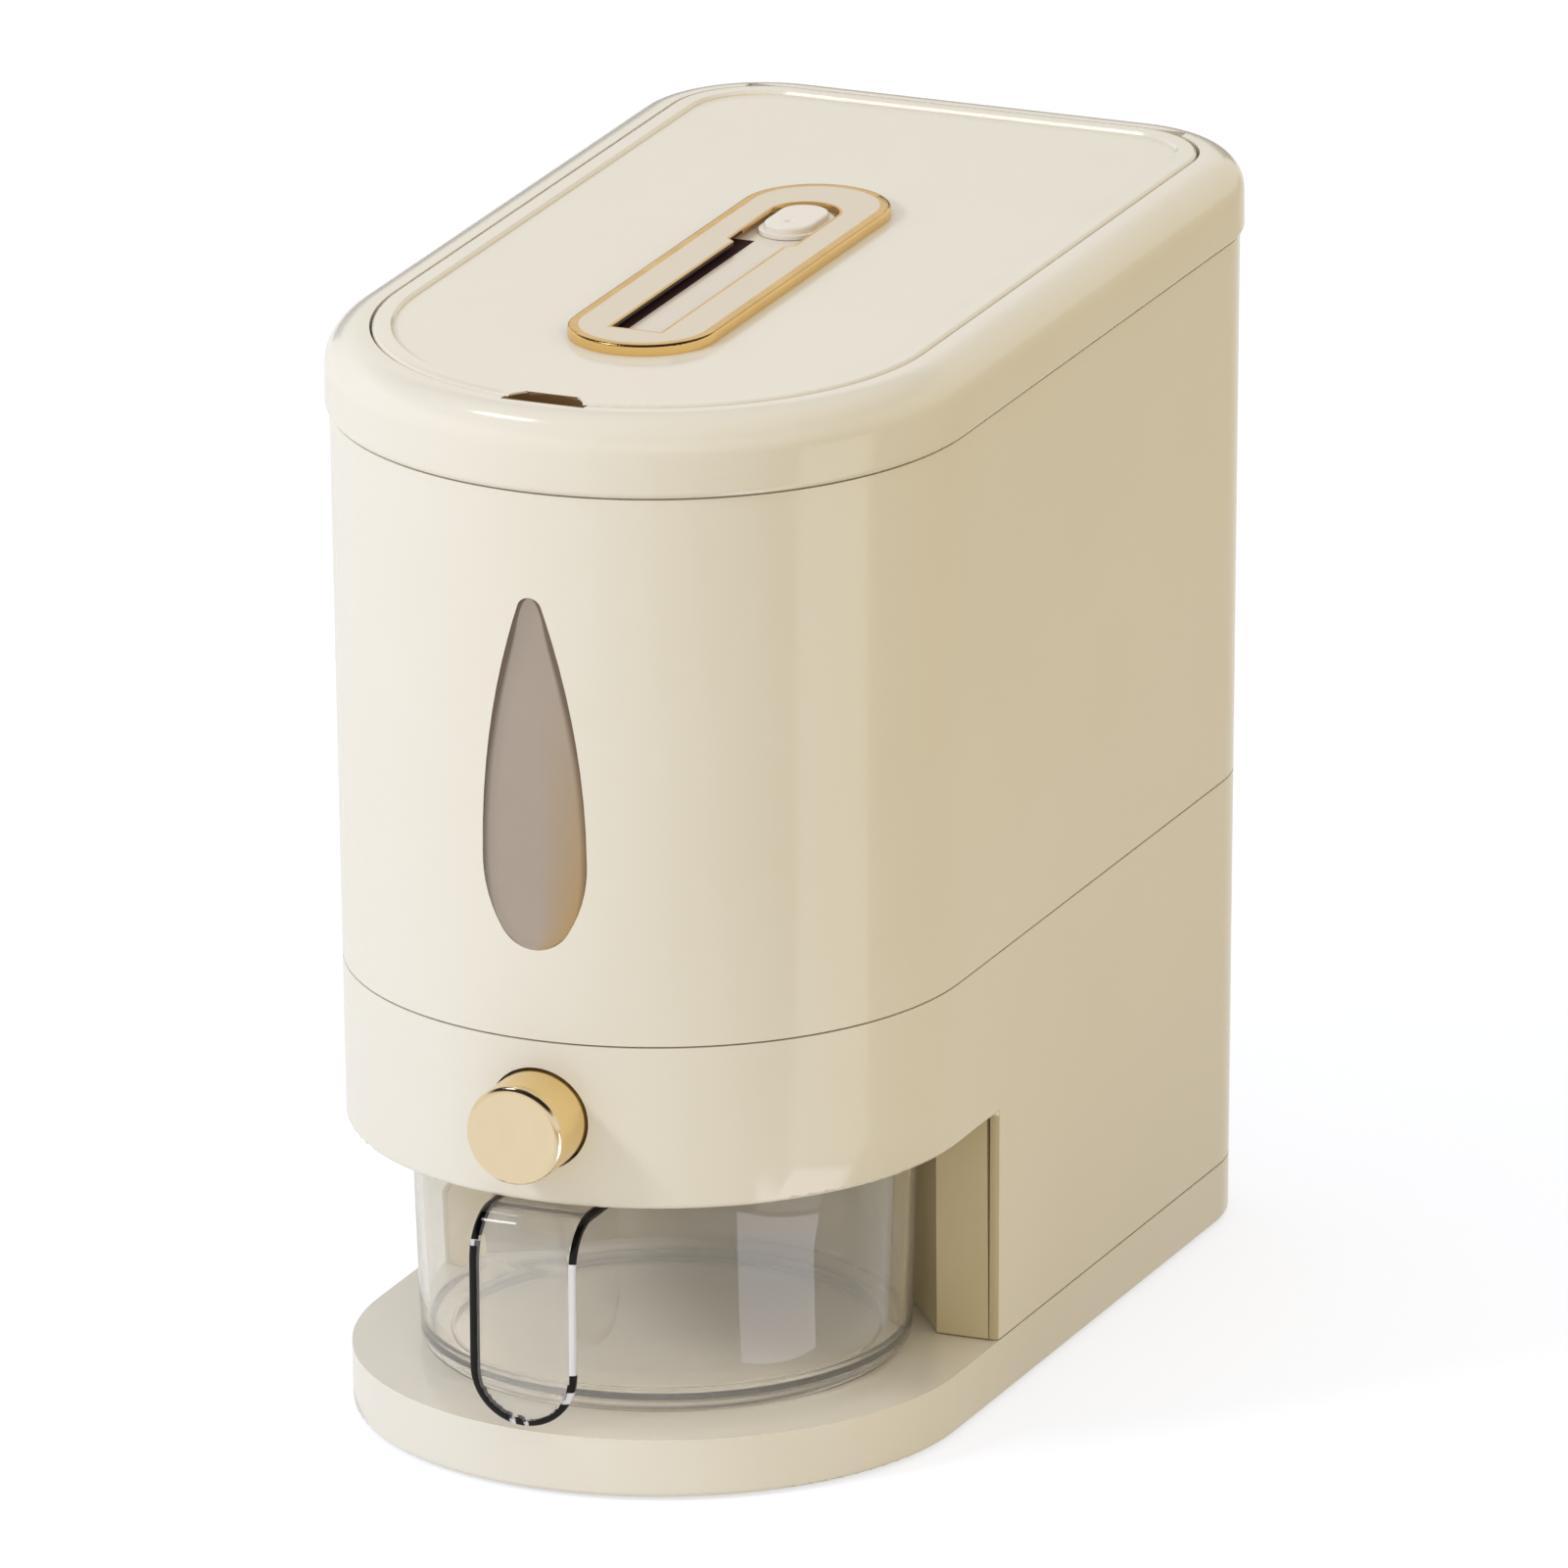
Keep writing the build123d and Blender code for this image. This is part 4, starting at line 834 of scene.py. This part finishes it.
@dataclass
class Cup:
    """Clear round cup with a hooked handle, one moulding."""

    palette: Palette
    foot_radius: float = 73.5
    foot_ring: float = 6.0
    foot_round: float = 5.0
    foot_nub: float = 0.8
    low: float = 20.5
    low_radius: float = 77.2
    top: float = 94.7
    top_radius: float = 79.0
    wall: float = 2.4
    under: float = 23.8
    under_rings: tuple[float, ...] = (50.0, 0.0)
    floor: float = 26.8
    floor_rings: tuple[float, ...] = (0.0, 30.0, 60.0)
    floor_round: float = 4.0
    # a ring of points this far below the rim's round, and this far in, holds the wall's shading
    rim_hold: float = 12.0
    rim_draft: float = 0.05
    turn_steps: int = 192
    handle_half: float = 17.9
    handle_thick: float = 3.4
    handle_v: float = -113.7
    handle_low: float = 27.1
    handle_bend: float = 15.5
    handle_root_v: float = -77.8
    flat_steps: int = 6
    bend_steps: int = 24
    drop_steps: int = 40
    end_steps: int = 40
    across_steps: int = 48
    # the strap's rounded edge is painted dark over this width on the left
    edge_band: float = 2.8  # width of the rounded edge, and of its dark on the left
    edge_flat: float = 0.3  # half thickness that is left at the very edge
    # width of the painted dark on the right
    right_painted_dark_band: float = 2.1
    # width of the painted highlight inside its stretches
    painted_highlight_band: float = 1.7
    # painted highlight stretches of the handle's edge: from and to in x, from and to in z
    painted_highlight_runs: tuple[tuple[float, float, float, float], ...] = (
        (5.0, 20.0, 46.0, 82.0), (5.0, 20.0, 36.0, 40.0), (-20.0, -5.0, 84.4, 85.9),
        (-4.2, -2.4, 0.0, 34.0), (0.6, 1.9, 0.0, 34.0))
    strap_gap: float = 0.2  # distance outside the bowl from which a face is the strap's
    sharp_angle: float = math.radians(50)

    def profile(self) -> list[Point2]:
        """Draw the bowl's closed profile.

        Returns:
            Its corners from axis to axis, in millimetres.
        """
        rim = self.wall / 2
        ring = self.foot_radius - self.foot_ring
        inner_low = self.low_radius - self.wall
        held_z = self.top - rim - self.rim_hold
        held_radius = self.top_radius - self.rim_draft
        line = [(r, self.floor) for r in self.floor_rings]
        line += round_corner((inner_low - self.floor_round, self.floor + self.floor_round),
                             self.floor_round, -90, 0, 8)
        line += [(held_radius - self.wall, held_z)]
        line += round_corner((self.top_radius - rim, self.top - rim), rim, 180, 0, 12)
        line += [(held_radius, held_z)]
        line += round_corner((self.low_radius - self.foot_round, self.low + self.foot_round),
                             self.foot_round, 0, -80, 8)
        line += [(self.foot_radius - self.foot_nub, self.low)]
        line += round_corner((ring + self.foot_nub, self.low + self.foot_nub), self.foot_nub,
                             -90, -180, 4)
        line += round_corner((ring - self.foot_nub, self.under - self.foot_nub), self.foot_nub,
                             0, 90, 4)
        return line + [(r, self.under) for r in self.under_rings]

    def flat_run(self) -> float:
        """Return the length of the handle's flat part."""
        return self.handle_root_v - (self.handle_v + self.handle_bend)

    def bend_radius(self) -> float:
        """Return the radius of the handle's middle line in its bend."""
        return self.handle_bend - self.handle_thick / 2

    def path(self, run: float) -> tuple[float, float, float, float]:
        """Follow the handle's middle line from the rim.

        Args:
            run: Distance from the root along the middle line.

        Returns:
            The place (v, z) and the outward direction (v, z) there.
        """
        half = self.handle_thick / 2
        bend = self.bend_radius()
        past_flat = run - self.flat_run()
        past_bend = past_flat - bend * math.pi / 2
        if past_flat <= 0:
            return self.handle_root_v - run, self.top - half, 0.0, 1.0
        if past_bend <= 0:
            angle = past_flat / bend
            out = (-math.sin(angle), math.cos(angle))
            return (self.handle_v + self.handle_bend + bend * out[0],
                    self.top - self.handle_bend + bend * out[1], *out)
        return self.handle_v + half, self.top - self.handle_bend - past_bend, -1.0, 0.0

    def handle_mesh(self) -> bpy.types.Mesh:
        """Build the handle as a rounded strap with a half-round end.

        Returns:
            The strap's closed mesh.
        """
        half = self.handle_thick / 2
        flat = self.flat_run()
        turn = self.bend_radius() * math.pi / 2
        drop = self.top - self.handle_bend - self.handle_low - self.handle_half
        straight = flat + turn + drop
        runs = [flat * i / self.flat_steps for i in range(self.flat_steps)]
        runs += [flat + turn * i / self.bend_steps for i in range(self.bend_steps)]
        runs += [flat + turn + drop * i / self.drop_steps for i in range(self.drop_steps)]
        runs += [straight + self.handle_half * math.sin(math.pi / 2 * i / self.end_steps)
                 for i in range(self.end_steps + 1)]
        points: list[Point] = []
        for side in (1, -1):
            for run in runs:
                past = max(0.0, run - straight)
                width = math.sqrt(max(0.0, self.handle_half ** 2 - past ** 2))
                v, z, out_v, out_z = self.path(run)
                for j in range(self.across_steps + 1):
                    x = width * math.sin(math.pi * (j / self.across_steps - 0.5))
                    depth = max(0.0, self.handle_half - math.hypot(past, x))
                    gap = 1 - min(1.0, depth / self.edge_band)
                    rise = side * (self.edge_flat
                                   + (half - self.edge_flat) * math.sqrt(1 - gap ** 2))
                    points.append((x, ARC_Y + v + rise * out_v, z + rise * out_z))
        return mesh_from("strap", points,
                         pillow_faces(len(runs) - 1, self.across_steps, pointed=True))

    def edge_tone(self, at: Vector) -> EdgeTone:
        """Choose the tone of a place on the cup.

        Args:
            at: The place in millimetres.

        Returns:
            Painted dark or painted highlight on the strap's rounded edge, clear elsewhere.
        """
        x, y, z = at
        below = max(0.0, self.handle_low + self.handle_half - z)
        depth = self.handle_half - math.hypot(x, below)
        band = self.edge_band if x < 0 else self.right_painted_dark_band
        if depth >= band or math.hypot(x, y - ARC_Y) <= self.top_radius + self.strap_gap:
            return EdgeTone.CLEAR
        if any(a < x < b and low < z < high for a, b, low, high in self.painted_highlight_runs):
            return EdgeTone.LIT if depth < self.painted_highlight_band else EdgeTone.CLEAR
        return EdgeTone.DARK

    def build(self) -> None:
        """Build the cup, which lets light through, and put it in place of its plain solid."""
        cup = new_piece("clear_cup", turned("bowl", self.profile(), self.turn_steps),
                        self.palette.clear)
        strap = new_piece("strap_source", self.handle_mesh(), self.palette.clear)
        joined = cup.modifiers.new("join", "BOOLEAN")
        joined.operation = "UNION"
        joined.solver = "EXACT"
        joined.object = strap
        graph = bpy.context.evaluated_depsgraph_get()
        mesh = bpy.data.meshes.new_from_object(cup.evaluated_get(graph))
        cup.modifiers.clear()
        cup.data = mesh
        bpy.data.objects.remove(strap)
        mesh.shade_smooth()
        mesh.set_sharp_from_angle(angle=self.sharp_angle)
        # painted dark and painted highlight on the strap's rounded edge
        mesh.materials.append(self.palette.edge)
        mesh.materials.append(self.palette.painted_highlight_edge)
        for face in mesh.polygons:
            face.material_index = self.edge_tone(face.center / MM).value
        cup.visible_shadow = False
        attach(cup, Body.CUP.value)
        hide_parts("cup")


@dataclass
class Lid:
    """Lid panel, liner, seal and screws."""

    palette: Palette

    def build(self) -> None:
        """Dress the lid's solids."""
        dress(["lid_panel"], self.palette.pocket)
        dress(["lid_liner"], self.palette.satin)
        dress(["lid_seal"], self.palette.silicone)
        dress(["lid_screws"], self.palette.steel)


@dataclass
class SlidePlate:
    """Gold plate on the lid with its cream inlay, track and sliding knob."""

    palette: Palette

    def build(self) -> None:
        """Dress the plate's solids."""
        dress(["lid_plate"], self.palette.gold)
        dress(["lid_plate_inlay"], self.palette.inlay)
        dress(["slide_track"], self.palette.track)
        dress(["slide_knob"], self.palette.white)


@dataclass
class DesiccantTray:
    """Soft bag of drying granules held under the lid by a vented sliding cover."""

    palette: Palette
    centre_v: float = 60.0
    half_x: float = 32.6
    half_y: float = 25.6
    low: float = 335.7
    thick: float = 8.2
    columns: int = 72
    rows: int = 58
    seam: float = 4.0
    seam_half: float = 0.18  # half thickness of the pressed seam
    swell_run: float = 13.0  # distance from the seam over which the bag fills out
    swell_power: float = 2.2
    slack: float = 0.8  # room that the lumps and wrinkles need
    granule: float = 2.6
    lump: float = 0.22
    wrinkle: float = 0.35
    wrinkle_size: float = 6.0
    wrinkle_stretch: Point2 = (0.3, 1.1)
    wrinkle_layer: float = 7.0

    def height(self, x: float, y: float) -> float:
        """Find how far the bag's face stands off its seam.

        Args:
            x: Distance from the bag's middle to the right.
            y: Distance from the bag's middle to the rear.

        Returns:
            The face's height there.
        """
        inside = min(self.half_x - abs(x), self.half_y - abs(y)) - self.seam
        if inside <= 0:
            return self.seam_half
        swell = 1 - (1 - min(1.0, inside / self.swell_run)) ** self.swell_power
        lumps = noise.noise(Vector((x, y, 0)) / self.granule)
        along, over = self.wrinkle_stretch
        folds = noise.noise(Vector((x * along, y * over, self.wrinkle_layer)) / self.wrinkle_size)
        full = self.thick / 2 - self.slack + self.lump * lumps + self.wrinkle * folds
        return self.seam_half + swell * full

    def build(self) -> None:
        """Build the bag and dress the cover."""
        dress(["desiccant_cover"], self.palette.satin)
        points: list[Point] = []
        for side in (1, -1):
            for i in range(self.columns + 1):
                for j in range(self.rows + 1):
                    x = self.half_x * (2 * i / self.columns - 1)
                    y = self.half_y * (2 * j / self.rows - 1)
                    z = self.low + self.thick / 2 + side * self.height(x, y)
                    points.append((x, ARC_Y + self.centre_v + y, z))
        mesh = mesh_from("granule_bag", points, pillow_faces(self.columns, self.rows))
        bag = new_piece("granule_bag", mesh, self.palette.fibre)
        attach(bag, Body.LID.value)
        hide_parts("desiccant_bag")


# ---------------------------------- studio
@dataclass(frozen=True)
class Studio:
    """Pale floor, key lamp, world, glowing cards and the camera at the photograph's angle."""

    camera_at: Point = (3.25787, -7.60737, 2.88147)
    camera_right: Point = (0.920623, 0.390382, -0.007396)
    camera_up: Point = (-0.114674, 0.288441, 0.950606)
    camera_back: Point = (0.373233, -0.874302, 0.310312)
    lens_mm: float = 636.25
    sensor_mm: float = 36.0
    camera_reach: float = 60.0
    lamp_at: Point = (-1.35, -1.75, 1.62)
    lamp_aim: Point = (0.0, 0.0, 0.17)
    lamp_size: float = 0.42
    lamp_watts: float = 19.2
    lamp_colour: str = "#F2F4FF"
    floor_half: float = 14.0
    pale: str = "#ECECEC"
    straw: str = "#C2B594"
    # brown of the painted shade beside the object, which only the bounce light sees
    brown: str = "#8A7850"
    straw_reach: float = 0.6  # distance to the right at which the floor's bounce is all straw
    painted_shade_share: float = 0.2  # share of that distance where it is brown, beside the object
    straw_share: float = 0.5
    bounce_front: float = -0.15  # in front of this the bounce has no brown
    bounce_rear: float = -0.02  # and behind this it has all of it
    strip_height: float = 0.004
    far_strip: tuple[Point2, ...] = (
        (0.3, -0.25), (0.456, -0.262), (0.956, -0.412), (1.5, -0.56), (1.5, 0.19),
        (0.99, 0.074), (0.479, -0.036), (0.3, -0.08))
    near_strip: tuple[Point2, ...] = (
        (0.112, -0.168), (0.2, -0.232), (0.28, -0.29), (0.28, -0.08), (0.241, -0.095),
        (0.143, -0.1))
    soft_box: tuple[Point, ...] = (
        (-1.16, -0.4, 1.96), (-0.8, -0.6, 2.16), (-0.72, -0.4, 2.2), (-1.08, -0.2, 2.0))
    black_flag: tuple[Point, ...] = (
        (-2.0, 2.0, 0.2), (-0.1, 2.0, 0.2), (-0.1, 2.0, 0.75), (-2.0, 2.0, 0.75))

    def build(self) -> None:
        """Set up everything that isn't part of the object."""
        scene = bpy.context.scene
        scene.view_settings.view_transform = "Standard"
        self.add_camera()
        self.add_floor()
        self.add_world()
        self.add_lamp()
        self.add_cards()

    def add_camera(self) -> None:
        """Place the camera."""
        data = bpy.data.cameras.new("camera")
        data.lens = self.lens_mm
        data.sensor_width = self.sensor_mm
        data.clip_end = self.camera_reach
        camera = new_object("camera", data)
        axes = Matrix((self.camera_right, self.camera_up, self.camera_back)).transposed()
        camera.matrix_world = Matrix.Translation(self.camera_at) @ axes.to_4x4()
        bpy.context.scene.camera = camera

    def card(self, name: str, corners: Iterable[Point],
             material: bpy.types.Material) -> bpy.types.Object:
        """Make a flat stage card.

        Args:
            name: Name of the card.
            corners: Its corners in metres.
            material: Its material.

        Returns:
            The card.
        """
        mesh = bpy.data.meshes.new(name)
        points = list(corners)
        mesh.from_pydata(points, [], [tuple(range(len(points)))])
        mesh.materials.append(material)
        made = new_object(name, mesh)
        return made

    def add_floor(self) -> None:
        """Lay a white floor that keeps the object's shadow, warms the light at the right and has
        painted shade in brown beside the object.
        """
        made = blank_material("matt_white_floor")
        tree = made.node_tree
        rays = add_node(tree, "ShaderNodeLightPath").outputs
        place = split_axes(tree, add_node(tree, "ShaderNodeTexCoord").outputs["Object"])
        right = remap(tree, place[0], 0.0, self.straw_reach)
        side_bounce = add_node(tree, "ShaderNodeValToRGB", links={0: right})
        stops = side_bounce.color_ramp.elements
        stops[0].color, stops[1].color = linear(self.pale), linear(self.straw)
        # painted shade in brown beside the object, seen only by bounce light
        stops.new(self.painted_shade_share).color = linear(self.brown)
        stops.new(self.straw_share).color = linear(self.straw)
        bounce = mix(tree, remap(tree, place[1], self.bounce_front, self.bounce_rear),
                     mix(tree, right, self.pale, self.straw), side_bounce.outputs[0])
        paint = add_node(tree, "ShaderNodeBsdfDiffuse", links={"Color": bounce})
        faint = add_node(tree, "ShaderNodeBsdfDiffuse", {"Color": linear("#AFB1B8")})
        glow = add_node(tree, "ShaderNodeEmission",
                        {"Color": linear("#FFFFFF"), "Strength": 0.66})
        seen = add_node(tree, "ShaderNodeAddShader", links={0: faint.outputs[0],
                                                            1: glow.outputs[0]})
        mirrored = add_node(tree, "ShaderNodeEmission", {"Strength": 1.0},
                            {"Color": mix(tree, right, "#F4F2EE", "#C4B79D")})
        plain = add_node(tree, "ShaderNodeMixShader", links={
            0: straight_rays(tree, rays), 1: paint.outputs[0], 2: seen.outputs[0]})
        all_rays = add_node(tree, "ShaderNodeMixShader", links={
            0: rays["Is Glossy Ray"], 1: plain.outputs[0], 2: mirrored.outputs[0]})
        add_node(tree, "ShaderNodeOutputMaterial", links={"Surface": all_rays.outputs[0]})
        half = self.floor_half
        self.card("floor", [(-half, -half, 0), (half, -half, 0), (half, half, 0),
                            (-half, half, 0)], made)

    def add_world(self) -> None:
        """Light the scene from all round, darker overhead, and show white to the camera."""
        world = bpy.data.worlds.new("studio")
        bpy.context.scene.world = world
        world.use_nodes = True
        tree = world.node_tree
        tree.nodes.clear()
        rays = add_node(tree, "ShaderNodeLightPath").outputs
        way = split_axes(tree, add_node(tree, "ShaderNodeTexCoord").outputs["Generated"])
        # cool from the left and warm from the right, greyer towards the top
        sides = mix(tree, remap(tree, way[0], -0.2, 1.0), "#E6EEFF", "#F8E9C6")
        fill = mix(tree, remap(tree, way[2], 0.2, 1.0, high=0.45), sides, "#BDBBB6")
        # shiny surfaces mirror a pale room with a dark ceiling
        shiny = mix(tree, remap(tree, way[2], 0.42, 0.6), "#E6E1D8", "#231A10")
        lit = mix(tree, rays["Is Glossy Ray"], fill, shiny)
        light = add_node(tree, "ShaderNodeBackground", {"Strength": 1.08},
                         {"Color": mix(tree, straight_rays(tree, rays), lit, "#FFFFFF")})
        add_node(tree, "ShaderNodeOutputWorld", links={"Surface": light.outputs[0]})

    def add_lamp(self) -> None:
        """Hang the key lamp to the upper left of the camera, out of every reflection."""
        data = bpy.data.lights.new("key", "AREA")
        data.shape = "RECTANGLE"
        data.size = data.size_y = self.lamp_size
        data.energy = self.lamp_watts
        data.color = linear(self.lamp_colour)[:3]
        lamp = new_object("key", data)
        lamp.location = self.lamp_at
        aim = Vector(self.lamp_aim) - Vector(self.lamp_at)
        lamp.rotation_euler = aim.to_track_quat("-Z", "Y").to_euler()
        lamp.visible_glossy = False

    def glow_card(self, name: str, corners: Iterable[Point], colour: str,
                  strength: float) -> None:
        """Hang or lay a glowing card that only shows in shiny surfaces.

        Args:
            name: Name of the card.
            corners: Its corners in metres.
            colour: Its hex colour.
            strength: Its brightness.
        """
        made = blank_material(name)
        light = add_node(made.node_tree, "ShaderNodeEmission",
                         {"Color": linear(colour), "Strength": strength})
        add_node(made.node_tree, "ShaderNodeOutputMaterial",
                 links={"Surface": light.outputs[0]})
        card = self.card(name, corners, made)
        card.visible_camera = card.visible_diffuse = False
        card.visible_shadow = card.visible_transmission = False

    def add_cards(self) -> None:
        """Lay two strips beside the object, and hang a soft box above and a flag behind it."""
        for name, strip, colour, strength in (("far_strip", self.far_strip, "#FFFCF6", 1.65),
                                              ("near_strip", self.near_strip, "#F6F5FF", 3.3)):
            self.glow_card(name, [(x, y, self.strip_height) for x, y in strip], colour, strength)
        self.glow_card("soft_box", self.soft_box, "#FFFFFF", 12.0)
        self.glow_card("black_flag", self.black_flag, "#1A140E", 1.0)


def main() -> None:
    """Build the studio and every sub-assembly in order."""
    logging.basicConfig(level=logging.INFO, format="%(name)s: %(message)s")
    Studio().build()
    palette = Palette()
    for assembly in (Housing, LevelWindow, Hopper, ButtonAndGate, Cup, Lid, SlidePlate,
                     DesiccantTray):
        assembly(palette).build()
        LOG.info("%s done", assembly.__name__)


if __name__ == "__main__":
    main()
